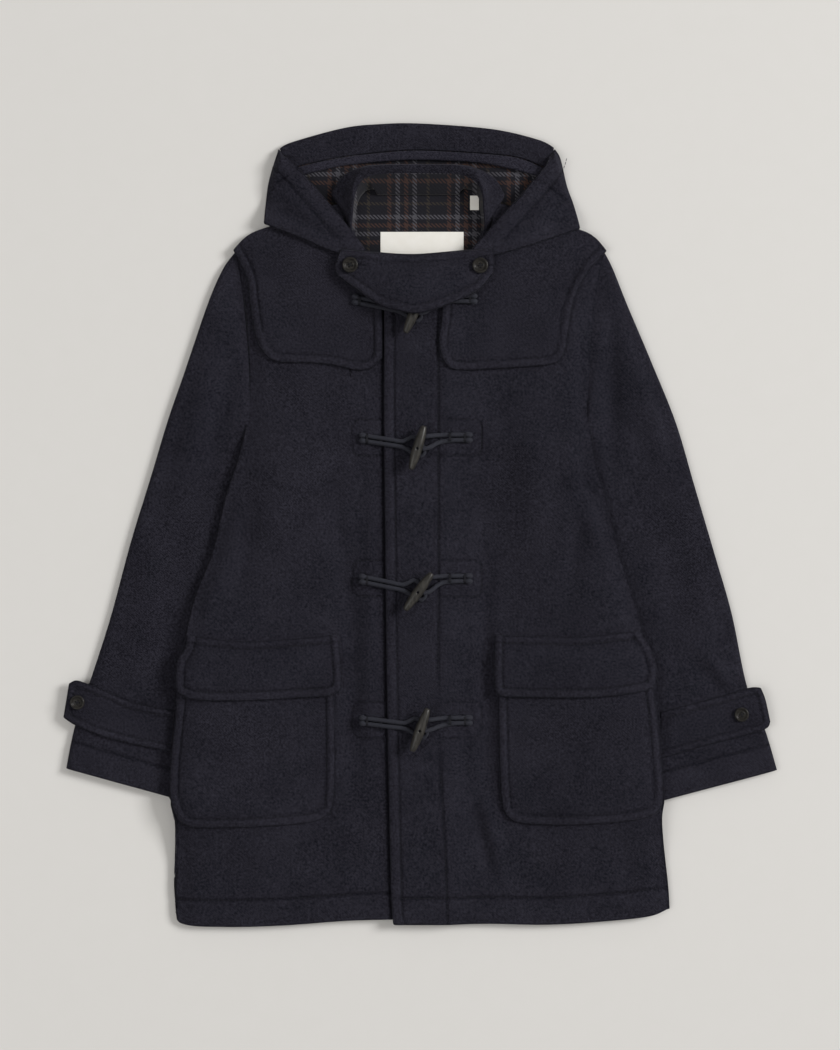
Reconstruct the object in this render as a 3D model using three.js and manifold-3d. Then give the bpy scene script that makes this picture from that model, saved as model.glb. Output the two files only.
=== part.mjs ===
// A wool duffle coat laid out flat on its back, hood spread above the neck. Millimetres, +Z up.
// X runs across the coat, with the wearer's left at +X, and Y runs from the hem to the hood.
// Z = 0 is the surface that the coat lies on, and the origin is the middle of its outline there.
import * as THREE from 'three';
import { mergeVertices } from 'three/addons/utils/BufferGeometryUtils.js';
import Module from 'manifold-3d';

const wasm = await Module();
wasm.setup();

// Driving sizes
const cloth = 3.2; // thick double-faced coat wool
const lightCloth = 2.8; // the same wool, pressed, in the pieces laid on the fronts
const seam = 0.5; // clearance between pieces sewn edge to edge
const layer = 1; // clearance between cloth and what it lies on
const air = 2.2; // looseness between the front and the back
const sideRoll = 26; // width over which a front comes down to the back at a side
const tuckLift = 10.8; // height of the body's sides over the sleeves tucked under them
const lapSpace = 0.8; // clearance where the left front laps over the right one
const facingWidth = 30; // X where the hidden edge of the right front lies
const ropeRadius = 2.6;
const toggleLength = 56;
const toggleRadius = 6.3;
const tabLift = 19.4; // rise of the throat tab over the top toggle
const labelCloth = 0.6;

// Half widths of the body down its length: the armhole to Y = 143, then the side seam.
const bodySides = [
  { y: 341, right: -229, left: 229 },
  { y: 286, right: -220, left: 219 },
  { y: 223, right: -214, left: 213 },
  { y: 180, right: -212, left: 210 },
  { y: 143, right: -213, left: 209 },
  { y: 84, right: -224, left: 216 },
  { y: 33, right: -241, left: 230 },
  { y: -32, right: -256, left: 246 },
  { y: -94, right: -280, left: 265 },
  { y: -155, right: -293, left: 283 },
  { y: -192, right: -301, left: 293 },
  { y: -291, right: -307, left: 299 },
  { y: -335, right: -308, left: 302 },
  { y: -368, right: -301, left: 299 },
  { y: -443, right: -303, left: 307 },
  { y: -474, right: -300, left: 309 },
];
const armpit = 143;
const cuffEnd = -345;

// The shoulder seam from the sleeve to the neck, the same on both sides.
const shoulderSeam = [[229, 341], [216, 355], [196, 366], [137, 384], [92, 398]];

// Soft folds in the fronts: a line, the reach to each side of it, and the height, down below zero.
const frontFolds = [
  { from: [-87, -43], to: [-84, -335], reach: 15, height: -1.7 },
  { from: [-262, -20], to: [-262, -110], reach: 22, height: 1.6 },
  { from: [-150, 130], to: [-122, -110], reach: 34, height: 2.2 },
  { from: [80, -43], to: [83, -335], reach: 13, height: -1.7 },
  { from: [66, -340], to: [86, -425], reach: 10, height: -1.2 },
  { from: [140, 120], to: [150, -100], reach: 30, height: 2 },
  { from: [205, 80], to: [232, -10], reach: 9, height: -1.3 },
];

const wool = { color: 0x24242b, roughness: 0.95 };
const darkWool = { color: 0x1f1f26, roughness: 0.95 };
const plaidWool = { color: 0x2a2c36, roughness: 0.95 };
const rope = { color: 0x3c3d45, roughness: 0.85 };
const horn = { color: 0x2b2822, roughness: 0.35 };
const dyedHorn = { color: 0x15110f, roughness: 0.25 };
const satin = { color: 0xf3efe9, roughness: 0.7 };

const coat = new THREE.Group();

function add(name, geometry, finish) {
  const material = new THREE.MeshStandardMaterial({ ...finish, metalness: 0 });
  const mesh = new THREE.Mesh(geometry, material);
  mesh.name = name;
  coat.add(mesh);
  return mesh;
}

// 1 up to the value `full`, easing to 0 at `none`.
function fade(value, full, none) {
  const t = Math.min(Math.max((value - none) / (full - none), 0), 1);
  return t * t * (3 - 2 * t);
}

function lookUp(table, y, column) {
  const next = table.findIndex((row) => row.y <= y);
  if (next === 0) return table[0][column];
  if (next === -1) return table.at(-1)[column];
  const [above, below] = [table[next - 1], table[next]];
  const t = (above.y - y) / (above.y - below.y);
  return above[column] + t * (below[column] - above[column]);
}

// Distance in from the body's nearer side edge.
function inward(x, y) {
  const edge = lookUp(bodySides, y, x < 0 ? 'right' : 'left');
  return Math.abs(edge) - Math.abs(x);
}

function shoulderAt(x) {
  const rows = shoulderSeam.map(([across, up]) => ({ y: across, up }));
  return lookUp(rows, Math.abs(x), 'up');
}

function foldHeight(x, y) {
  const point = new THREE.Vector3(x, y, 0);
  let height = 0;
  for (const fold of frontFolds) {
    const line = new THREE.Line3(new THREE.Vector3(...fold.from, 0), new THREE.Vector3(...fold.to, 0));
    const distance = line.closestPointToPoint(point, true, new THREE.Vector3()).distanceTo(point);
    height += fold.height * Math.exp(-((distance / fold.reach) ** 2));
  }
  return height;
}

// Height of the back's underside: flat, but over the sleeves along the sides.
function backUnder(x, y) {
  const alongSide = fade(y, 84, armpit) * fade(y, cuffEnd - 4, -425);
  return tuckLift * alongSide * fade(inward(x, y), 32, 180);
}

function backTop(x, y) {
  return backUnder(x, y) + cloth;
}

// Height of a front's underside, which closes on the back at the sides and the shoulders.
function frontUnder(x, y) {
  const rollIn = fade(inward(x, y), sideRoll, 0) * fade(shoulderAt(x) - y, sideRoll, 0);
  return backTop(x, y) + layer + rollIn * (air + foldHeight(x, y));
}

function lap(x) {
  return (cloth + lapSpace) * fade(x, facingWidth, facingWidth + 30);
}

// Height of the outside of the fronts, with the left one on top.
function frontTop(x, y) {
  const overlap = x > -44 ? lap(x) : 0;
  return frontUnder(x, y) + cloth + overlap;
}

const curve = (points) => new THREE.SplineCurve(points.map(([x, y]) => new THREE.Vector2(x, y)));

// Points of a four-sided patch: top and bottom run left to right, and the two sides run down.
function patch(edges, across, down) {
  const [top, bottom, left, right] = [edges.top, edges.bottom, edges.left, edges.right].map(curve);
  const corners = [top.getPoint(0), top.getPoint(1), bottom.getPoint(0), bottom.getPoint(1)];
  return down.map((v) => across.map((u) => {
    const point = new THREE.Vector2();
    point.addScaledVector(top.getPointAt(u), 1 - v).addScaledVector(bottom.getPointAt(u), v);
    point.addScaledVector(left.getPointAt(v), 1 - u).addScaledVector(right.getPointAt(v), u);
    point.addScaledVector(corners[0], -(1 - u) * (1 - v)).addScaledVector(corners[1], -u * (1 - v));
    point.addScaledVector(corners[2], -(1 - u) * v).addScaledVector(corners[3], -u * v);
    return point;
  }));
}

const steps = (count) => Array.from({ length: count + 1 }, (_, i) => i / count);

// Evenly spaced, with extra lines beside the ends, where cloth turns over an edge.
function edged(count, margin, both = true) {
  const inner = steps(count).slice(1, -1);
  return both ? [0, margin, ...inner, 1 - margin, 1] : [0, margin, ...inner, 1];
}

function closedSolid(points, triangles) {
  const geometry = new THREE.BufferGeometry();
  geometry.setAttribute('position', new THREE.Float32BufferAttribute(points.flat(), 3));
  geometry.setIndex(triangles);
  return geometry;
}

// A cloth wall over a grid of plan points, from `under(x, y)` up to `over(x, y)`.
function wall(grid, under, over) {
  const [rows, columns] = [grid.length, grid[0].length];
  const layer = (height) => grid.flat().map((p) => [p.x, p.y, height(p.x, p.y)]);
  const points = [...layer(over), ...layer(under)];
  const top = (r, c) => r * columns + c;
  const low = (r, c) => rows * columns + top(r, c);
  const triangles = [];
  const quad = (a, b, c, d) => triangles.push(a, b, c, a, c, d);
  for (let r = 0; r < rows - 1; r += 1) {
    for (let c = 0; c < columns - 1; c += 1) {
      quad(top(r, c), top(r + 1, c), top(r + 1, c + 1), top(r, c + 1));
      quad(low(r, c), low(r, c + 1), low(r + 1, c + 1), low(r + 1, c));
    }
    quad(top(r, 0), low(r, 0), low(r + 1, 0), top(r + 1, 0));
    quad(top(r + 1, columns - 1), low(r + 1, columns - 1), low(r, columns - 1), top(r, columns - 1));
  }
  for (let c = 0; c < columns - 1; c += 1) {
    quad(top(0, c + 1), low(0, c + 1), low(0, c), top(0, c));
    quad(top(rows - 1, c), low(rows - 1, c), low(rows - 1, c + 1), top(rows - 1, c + 1));
  }
  return closedSolid(points, triangles);
}

function laidOn(edges, across, down, surface, thickness) {
  const under = (x, y) => surface(x, y) + layer;
  return wall(patch(edges, across, down), under, (x, y) => under(x, y) + thickness);
}

// ---- Body: the back, then the two fronts -------------------------------------------------------

const sideOf = (column) => bodySides.map((row) => [row[column], row.y]);
const mirrored = (points) => points.map(([x, y]) => [-x, y]);
const shoulders = {
  right: mirrored(shoulderSeam),
  left: [...shoulderSeam].reverse(),
};
const bodyDown = [0, 0.025, 0.06, 0.13, 0.2, 0.25, 0.31, 0.38, 0.46, 0.54, 0.62, 0.7, 0.77, 0.84, 0.9, 0.95, 1];

const backEdges = {
  top: [...shoulders.right, [-62, 409], [0, 410], [58, 409], ...shoulders.left],
  bottom: [[-300, -474], [-296, -488], [-170, -493], [0, -486], [170, -491], [300, -480], [309, -474]],
  left: sideOf('right'),
  right: sideOf('left'),
};
add('back', wall(patch(backEdges, edged(12, 0.03), bodyDown), backUnder, backTop), plaidWool);

const rightFrontEdges = {
  top: [...shoulders.right, [-92, 358], [-62, 325], [-20, 308], [facingWidth, 300]],
  bottom: [[-300, -474], [-296, -493], [-239, -497], [-169, -495], [-81, -489], [facingWidth, -487]],
  left: sideOf('right'),
  right: [[facingWidth, 300], [facingWidth, -487]],
};
add('front_right', wall(
  patch(rightFrontEdges, edged(9, 0.05, false), bodyDown),
  frontUnder,
  (x, y) => frontUnder(x, y) + cloth,
), wool);

const leftFrontEdges = {
  top: [[-44, 303], [-10, 312], [40, 322], [72, 338], [86, 362], ...shoulders.left],
  bottom: [[-31, -494], [33, -494], [86, -493], [163, -494], [240, -489], [287, -483], [309, -474]],
  left: [[-44, 303], [-44, 105], [-40, -242], [-35, -465], [-31, -494]],
  right: sideOf('left'),
};
const leftFrontUnder = (x, y) => frontUnder(x, y) + lap(x);
add('front_left', wall(
  patch(leftFrontEdges, [0, 0.08, 0.16, 0.21, 0.26, 0.31, 0.42, 0.53, 0.64, 0.75, 0.85, 0.94, 1], bodyDown),
  leftFrontUnder,
  (x, y) => leftFrontUnder(x, y) + cloth,
), wool);

// ---- Sleeves: flattened tubes, open at the armhole and the cuff ----------------------------------

const sleeveRoll = 9; // width of the fold along each edge of a sleeve
const sleeveGap = 3; // looseness between its two layers
const sleeveAcross = [0, 0.02, 0.06, 0.2, 0.4, 0.6, 0.8, 0.94, 0.98, 1];
const sleeveDown = [0, 0.05, 0.12, 0.2, 0.3, 0.4, 0.5, 0.6, 0.7, 0.8, 0.9, 1];

function sleeve(edges) {
  const grid = patch(edges, sleeveAcross, sleeveDown);
  const ring = sleeveAcross.length * 2 - 2;
  const points = [];
  grid.forEach((row, r) => {
    const width = row[0].distanceTo(row.at(-1));
    const gap = seam + (sleeveGap - seam) * fade(sleeveDown[r], 0.2, 0);
    const rise = gap / 2 + cloth;
    const [start, end] = [row[0], row.at(-1)];
    const round = (distance, reach) => Math.sqrt(1 - (1 - Math.min(distance / reach, 1)) ** 2);
    for (const inset of [0, cloth]) {
      const half = rise - inset;
      const plan = row.map((p, i) => {
        const u = sleeveAcross[i];
        const pull = (0.5 - u) * 2 * (inset / width);
        return p.clone().addScaledVector(end.clone().sub(start), pull);
      });
      const heights = plan.map((p) => {
        const reach = Math.min(p.distanceTo(plan[0]), p.distanceTo(plan.at(-1)));
        return half * round(reach, sleeveRoll - inset);
      });
      plan.forEach((p, i) => points.push([p.x, p.y, rise + heights[i]]));
      for (let i = plan.length - 2; i > 0; i -= 1) {
        points.push([plan[i].x, plan[i].y, rise - heights[i]]);
      }
    }
  });
  const at = (r, inset, k) => (r * 2 + inset) * ring + ((k + ring) % ring);
  const triangles = [];
  const quad = (a, b, c, d) => triangles.push(a, b, c, a, c, d);
  for (let k = 0; k < ring; k += 1) {
    for (let r = 0; r < grid.length - 1; r += 1) {
      quad(at(r, 0, k), at(r + 1, 0, k), at(r + 1, 0, k + 1), at(r, 0, k + 1));
      quad(at(r, 1, k), at(r, 1, k + 1), at(r + 1, 1, k + 1), at(r + 1, 1, k));
    }
    const last = grid.length - 1;
    quad(at(0, 1, k), at(0, 0, k), at(0, 0, k + 1), at(0, 1, k + 1));
    quad(at(last, 0, k), at(last, 1, k), at(last, 1, k + 1), at(last, 0, k + 1));
  }
  return closedSolid(points, triangles);
}

const armhole = (column, step) => bodySides
  .filter((row) => row.y >= armpit)
  .map((row) => [row[column] + step, row.y]);

add('sleeve_right', sleeve({
  top: armhole('right', -0.7),
  bottom: [[-438, -301], [-311, -336], [-289, -342]],
  left: [
    [-229.7, 341], [-241, 322], [-254, 296], [-267, 262], [-292, 188], [-312, 130], [-334, 57],
    [-358, -21], [-383, -114], [-406, -186], [-427, -248], [-438, -301],
  ],
  right: [
    [-213.7, 143], [-224.7, 84], [-229, 50], [-232, 0], [-241, -40], [-262, -94], [-275, -155],
    [-283, -192], [-289, -291], [-289, -342],
  ],
}), wool);

const leftSleeve = sleeve({
  top: armhole('left', 0.7),
  bottom: [[442, -303], [303, -340], [284, -345]],
  left: [
    [229.7, 341], [238, 319], [256, 274], [286, 203], [317, 126], [340, 48], [366, -40],
    [386, -110], [405, -200], [427, -253], [442, -303],
  ],
  right: [
    [209.7, 143], [216.7, 84], [218, 50], [222, 0], [230, -40], [247, -94], [265, -155],
    [275, -192], [281, -291], [284, -345],
  ],
});
// Its edges are listed from the outside in, so its rings turn the other way round.
leftSleeve.setIndex(Array.from(leftSleeve.index.array).reverse());
add('sleeve_left', leftSleeve, wool);

// ---- Yokes over the shoulders of the fronts ---------------------------------------------------------

const rightYokeEdges = {
  top: [[-228, 339], [-214, 353], [-195, 363], [-137, 381], [-95, 394], [-94, 358], [-64, 323], [-46.5, 315]],
  bottom: [[-199, 221], [-189, 208], [-174, 201], [-135, 200], [-106, 197], [-78, 191], [-59, 194], [-46.5, 207]],
  left: [[-228, 339], [-214, 306], [-211, 278], [-206, 243], [-199, 221]],
  right: [[-46.5, 315], [-46.5, 207]],
};
add('yoke_right', laidOn(rightYokeEdges, steps(8), steps(8), frontTop, lightCloth), wool);

const leftYokeEdges = {
  top: [[27, 316], [44, 321], [74, 336], [88, 360], [94, 394], [137, 381], [195, 363], [214, 353], [227, 338]],
  bottom: [[27, 207], [36, 194], [54, 191], [79, 192], [131, 195], [162, 198], [175, 206], [182, 225]],
  left: [[27, 316], [27, 263], [23, 227], [27, 207]],
  right: [[227, 338], [206, 312], [191, 279], [184, 244], [182, 225]],
};
add('yoke_left', laidOn(leftYokeEdges, steps(10), steps(8), frontTop, lightCloth), wool);

const yokeTop = (x, y) => frontTop(x, y) + layer + lightCloth;

// ---- Patch pockets and their flaps ------------------------------------------------------------------

const pocketDown = [0, 0.25, 0.5, 0.75, 0.92, 1];
const flapFold = { full: -168, none: -152 }; // the flap comes down off the pocket's top edge here

function pocket(name, edges) {
  add(name, laidOn(edges, edged(6, 0.06), pocketDown, frontTop, lightCloth), wool);
}

function flap(name, edges) {
  const surface = (x, y) => frontTop(x, y) + (lightCloth + layer) * fade(y, flapFold.full, flapFold.none);
  const down = [0, 0.2, 0.42, 0.75, 1];
  add(name, laidOn(edges, edged(6, 0.06), down, surface, lightCloth), wool);
}

pocket('pocket_right', {
  top: [[-295, -176], [-200, -180], [-106, -176]],
  bottom: [[-299, -362], [-283, -372], [-230, -373], [-161, -370], [-126, -365], [-110, -355]],
  left: [[-295, -176], [-301, -230], [-307, -291], [-308, -335], [-299, -362]],
  right: [[-106, -176], [-105, -274], [-106, -335], [-110, -355]],
});
pocket('pocket_left', {
  top: [[96, -176], [190, -180], [284, -176]],
  bottom: [[107, -359], [124, -368], [184, -370], [253, -365], [286, -358], [296, -350]],
  left: [[96, -176], [98, -291], [101, -343], [107, -359]],
  right: [[284, -176], [292, -231], [297, -291], [300, -333], [296, -350]],
});
flap('flap_right', {
  top: [[-286, -136], [-221, -143], [-165, -141], [-101, -135]],
  bottom: [[-297, -208], [-274, -215], [-213, -216], [-143, -213], [-109, -210], [-97, -202]],
  left: [[-286, -136], [-290, -152], [-299, -168], [-301, -196], [-297, -208]],
  right: [[-101, -135], [-98, -165], [-96, -187], [-97, -202]],
});
flap('flap_left', {
  top: [[92, -136], [184, -138], [236, -134], [270, -130]],
  bottom: [[93, -206], [105, -212], [158, -213], [219, -212], [271, -205], [288, -199]],
  left: [[92, -136], [91, -187], [93, -206]],
  right: [[270, -130], [284, -152], [292, -180], [288, -199]],
});

// ---- Cuff straps, each on its sleeve and sewn in at the inner seam -----------------------------------

const sleeveTop = 2 * cloth + sleeveGap;
const strapDroop = 3;

function strap(name, edges, sleeveEdge) {
  const surface = (x) => sleeveTop - strapDroop * fade(Math.abs(x), sleeveEdge + 26, sleeveEdge);
  add(name, laidOn(edges, steps(7), steps(2), surface, lightCloth), wool);
  return (x) => surface(x) + layer + lightCloth;
}

const rightStrapTop = strap('strap_right', {
  top: [[-434, -196], [-425, -192], [-411, -196], [-376, -210], [-355, -219], [-308, -228]],
  bottom: [[-441, -238], [-427, -247], [-398, -259], [-363, -269], [-311, -279]],
  left: [[-434, -196], [-441, -238]],
  right: [[-308, -228], [-311, -279]],
}, 417);
const leftStrapTop = strap('strap_left', {
  top: [[303, -229], [335, -221], [377, -210], [407, -201], [421, -201]],
  bottom: [[303, -287], [355, -272], [395, -262], [427, -252], [433, -243]],
  left: [[303, -229], [303, -287]],
  right: [[421, -201], [427, -216], [433, -243]],
}, 420);

// ---- Hood: a crown on the surface, two sides folded over it, its facing and its stand -----------------

const crownEdges = {
  top: [[-176, 466], [-158, 474], [-96, 491], [-53, 496], [0, 497], [89, 490], [146, 477], [168, 467]],
  bottom: [
    [-190, 374], [-137, 388], [-92, 402], [-62, 413], [0, 413], [58, 413], [92, 402], [137, 388], [195, 371],
  ],
  left: [[-176, 466], [-187, 422], [-190, 374]],
  right: [[168, 467], [174, 453], [181, 420], [188, 397], [195, 371]],
};
add('hood_crown', wall(patch(crownEdges, steps(14), steps(4)), () => 0, () => cloth), plaidWool);

const hoodEdgeRise = 7; // how far the face edge of the hood stands over what is under it
const hoodWall = 4.4; // the hood's sides are faced with the same wool along the face

// A side rests on the crown above the shoulder seam, and on the yoke below it.
function hoodSideUnder(x, y, faceEdge) {
  const onYoke = fade(y - shoulderAt(x), 4, 36);
  const low = cloth + layer;
  const high = 2 * cloth + air + lightCloth + 3 * layer;
  const distance = faceEdge.distance(x, y);
  return low + (high - low) * onYoke + hoodEdgeRise * fade(distance, 6, 60);
}

function hoodSide(name, edges) {
  const face = edges.face.map(([x, y]) => new THREE.Vector3(x, y, 0));
  const faceEdge = {
    distance: (x, y) => {
      const point = new THREE.Vector3(x, y, 0);
      const lines = face.slice(1).map((end, i) => new THREE.Line3(face[i], end));
      const near = (line) => line.closestPointToPoint(point, true, new THREE.Vector3());
      return Math.min(...lines.map((line) => near(line).distanceTo(point)));
    },
  };
  const under = (x, y) => hoodSideUnder(x, y, faceEdge);
  add(name, wall(patch(edges, edged(7, 0.06), steps(8)), under, (x, y) => under(x, y) + hoodWall), wool);
}

const rightFace = [[-168, 459], [-150, 441], [-112, 397], [-78, 352]];
hoodSide('hood_side_right', {
  top: [[-175, 465], [-168, 459]],
  bottom: [[-190, 376], [-146, 356], [-109, 341], [-96, 345], [-78, 352]],
  left: [[-175, 465], [-187, 422], [-190, 376]],
  right: rightFace,
  face: rightFace,
});
const leftFace = [[160, 459], [152, 441], [110, 392], [74, 350]];
hoodSide('hood_side_left', {
  top: [[160, 459], [167, 465]],
  bottom: [[74, 350], [90, 344], [103, 340], [146, 351], [195, 369]],
  left: leftFace,
  right: [[167, 465], [174, 453], [181, 420], [188, 397], [195, 369]],
  face: leftFace,
});

const facingEdges = {
  top: [[-168, 467], [-155, 473], [-96, 489], [-53, 494], [0, 495], [89, 488], [146, 475], [160, 468]],
  bottom: [[-148, 445], [-95, 456], [-26, 463.5], [24, 463.5], [111, 457], [149, 445]],
  left: [[-168, 467], [-148, 445]],
  right: [[160, 468], [149, 445]],
};
add('hood_facing', laidOn(facingEdges, steps(14), steps(3), () => cloth, cloth), darkWool);

const bindingEdges = {
  top: [[-147, 444], [-95, 455], [-26, 462.5], [24, 462.5], [111, 456], [148, 444]],
  bottom: [[-140, 435], [-95, 445], [-26, 451.5], [24, 451.5], [84, 447], [141, 434]],
  left: [[-147, 444], [-140, 435]],
  right: [[148, 444], [141, 434]],
};
add('hood_binding', laidOn(bindingEdges, steps(14), steps(2), () => cloth, 4.6), wool);

// The stand is the hood's neck edge folded up round the opening. Its layers are one rounded ridge.
const standRidge = [
  { x: -83, y: 377, inner: 4, outer: 5, height: 15 },
  { x: -83, y: 392, inner: 4, outer: 5.5, height: 18 },
  { x: -82, y: 408, inner: 5, outer: 7, height: 21 },
  { x: -79, y: 424, inner: 8, outer: 7, height: 23 },
  { x: -70, y: 436, inner: 14, outer: 6, height: 25 },
  { x: -52, y: 442, inner: 24, outer: 5, height: 26 },
  { x: -20, y: 443, inner: 28, outer: 5, height: 27 },
  { x: 18, y: 443, inner: 28, outer: 5, height: 27 },
  { x: 48, y: 442, inner: 24, outer: 5, height: 26 },
  { x: 66, y: 435, inner: 14, outer: 6, height: 25 },
  { x: 75, y: 422, inner: 7, outer: 7, height: 23 },
  { x: 78, y: 406, inner: 4, outer: 6, height: 21 },
  { x: 78.5, y: 391, inner: 4, outer: 5, height: 18 },
  { x: 79, y: 377, inner: 4, outer: 5, height: 15 },
];
const standProfile = [ // place across the ridge, from the neck side, and share of the height
  { inner: 1, outer: 0, rise: 0.06 },
  { inner: 0.6, outer: 0, rise: 0.45 },
  { inner: 0.22, outer: 0, rise: 0.88 },
  { inner: 0, outer: 0, rise: 1 },
  { inner: 0, outer: 0.45, rise: 0.82 },
  { inner: 0, outer: 1, rise: 0.1 },
];
const standBase = cloth + layer;

function stand() {
  const ridge = standRidge.map((row) => new THREE.Vector2(row.x, row.y));
  const grid = standRidge.map((row, i) => {
    const before = ridge[Math.max(i - 1, 0)];
    const after = ridge[Math.min(i + 1, ridge.length - 1)];
    const along = after.clone().sub(before).normalize();
    const toNeck = new THREE.Vector2(along.y, -along.x);
    return standProfile.map((place) => {
      const across = place.inner * row.inner - place.outer * row.outer;
      const plan = ridge[i].clone().addScaledVector(toNeck, across);
      return { x: plan.x, y: plan.y, z: standBase + place.rise * row.height };
    });
  });
  const heights = new Map(grid.flat().map((p) => [`${p.x},${p.y}`, p.z]));
  return wall(grid, () => standBase, (x, y) => heights.get(`${x},${y}`));
}
add('hood_stand', stand(), plaidWool);

// ---- Labels on the inside of the back ------------------------------------------------------------------

function label(name, left, right, bottom, top) {
  const edges = {
    top: [[left, top], [right, top]],
    bottom: [[left, bottom], [right, bottom]],
    left: [[left, top], [left, bottom]],
    right: [[right, top], [right, bottom]],
  };
  add(name, laidOn(edges, steps(2), steps(1), backTop, labelCloth), satin);
}
label('neck_label', -49, 54, 329, 363);
label('size_label', 62, 73, 390, 408);

// ---- Throat tab, buttoned across the top toggle ---------------------------------------------------------

const tabBase = 2 * cloth + air + lightCloth + 3 * layer;
function tabUnder(x, y) {
  return tabBase + tabLift * Math.exp(-(((x - 2) / 72) ** 2)) * fade(y, 296, 342);
}
const tabEdges = {
  top: [[-99, 338], [-91, 340], [-48, 336], [-6, 334], [44, 338], [87, 341]],
  bottom: [[-103, 308], [-81, 291], [-48, 269], [-24, 262], [-6, 259], [15, 263], [44, 274], [72, 288], [88, 306]],
  left: [[-99, 338], [-105, 318], [-103, 308]],
  right: [[87, 341], [91, 333], [91, 313], [88, 306]],
};
const tabThickness = 4;
add('throat_tab', wall(
  patch(tabEdges, steps(12), steps(5)),
  tabUnder,
  (x, y) => tabUnder(x, y) + tabThickness,
), wool);

// ---- Buttons: a raised rim round a dished face with four holes --------------------------------------------

function asManifold(geometry) {
  for (const name of ['normal', 'uv']) geometry.deleteAttribute(name);
  const merged = mergeVertices(geometry, 1e-4);
  return new wasm.Manifold(new wasm.Mesh({
    numProp: 3,
    vertProperties: merged.attributes.position.array,
    triVerts: Uint32Array.from(merged.index.array),
  }));
}

function asGeometry(manifold) {
  const mesh = manifold.getMesh();
  const geometry = new THREE.BufferGeometry();
  geometry.setAttribute('position', new THREE.BufferAttribute(Float32Array.from(mesh.vertProperties), 3));
  geometry.setIndex(Array.from(mesh.triVerts));
  return geometry;
}

function turned(profile, sides) {
  return new THREE.LatheGeometry(profile.map(([r, z]) => new THREE.Vector2(r, z)), sides).rotateX(Math.PI / 2);
}

function button(name, x, y, z, radius) {
  const thick = 0.36 * radius;
  let disc = asManifold(turned([
    [0, 0], [radius * 0.86, 0], [radius, thick * 0.4], [radius * 0.98, thick * 0.8], [radius * 0.88, thick],
    [radius * 0.74, thick * 0.92], [radius * 0.6, thick * 0.6], [0, thick * 0.55],
  ], 16));
  const holeAt = radius * 0.2;
  for (const [i, j] of [[-1, -1], [-1, 1], [1, -1], [1, 1]]) {
    const drill = new THREE.CylinderGeometry(radius * 0.1, radius * 0.1, thick * 4, 6).rotateX(Math.PI / 2);
    disc = disc.subtract(asManifold(drill.translate(i * holeAt, j * holeAt, 0)));
  }
  add(name, asGeometry(disc), dyedHorn).position.set(x, y, z);
}

const tabButtonHeight = (x, y) => tabUnder(x, y) + tabThickness + 1.4;
button('tab_button_right', -86, 320, tabButtonHeight(-78, 312), 9.6);
button('tab_button_left', 74, 319, tabButtonHeight(66, 311), 9.6);
button('cuff_button_right', -423, -219, rightStrapTop(-412) + 0.4, 8.8);
button('cuff_button_left', 397, -234, leftStrapTop(390) + 0.4, 8.8);

// ---- Toggles and their cords ----------------------------------------------------------------------------

const ropeSides = Array.from({ length: 8 }, (_, i) => (i * Math.PI) / 4);
const ropeSection = new THREE.Shape(
  ropeSides.map((a) => new THREE.Vector2(ropeRadius * Math.cos(a), ropeRadius * Math.sin(a))),
);

function cord(name, points, count) {
  const path = new THREE.CatmullRomCurve3(points.map((p) => new THREE.Vector3(...p)));
  const tube = new THREE.ExtrudeGeometry(ropeSection, { extrudePath: path, steps: count, bevelEnabled: false });
  add(name, tube, rope);
}

const yokesTop = (x, y) => (x < -44 || x > 22 ? yokeTop(x, y) : frontTop(x, y));

// A row for each toggle, from the neck down: its middle, the lean of its top to the left front,
// and the row of its cords, with the surface that they lie on.
const toggles = [
  { x: -7, y: 262, lean: 23, cordsY: 279, loopX: -84, ropeX: 71, surface: yokesTop },
  { x: -3, y: 95, lean: 17, cordsY: 108, loopX: -75, ropeX: 65, surface: frontTop },
  { x: -2, y: -82, lean: 36, cordsY: -66, loopX: -75, ropeX: 65, surface: frontTop },
  { x: 0, y: -252, lean: 20, cordsY: -241, loopX: -75, ropeX: 65, surface: frontTop },
];
const strandGap = 3.7; // half the distance between the two strands of a cord
const loopReach = 9; // how far a loop goes round the far side of its toggle
const toggleProfile = [ // distance from the middle, as a share of half the length, and of the radius
  [0.0, 0.0], [0.45, 0.0], [0.72, 0.05], [0.94, 0.4], [1.0, 1.0], [0.94, 1.6], [0.72, 1.95], [0.45, 2.0], [0.0, 2.0],
].map(([radius, along]) => [radius * toggleRadius, (along - 1) * (toggleLength / 2)]);

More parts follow.
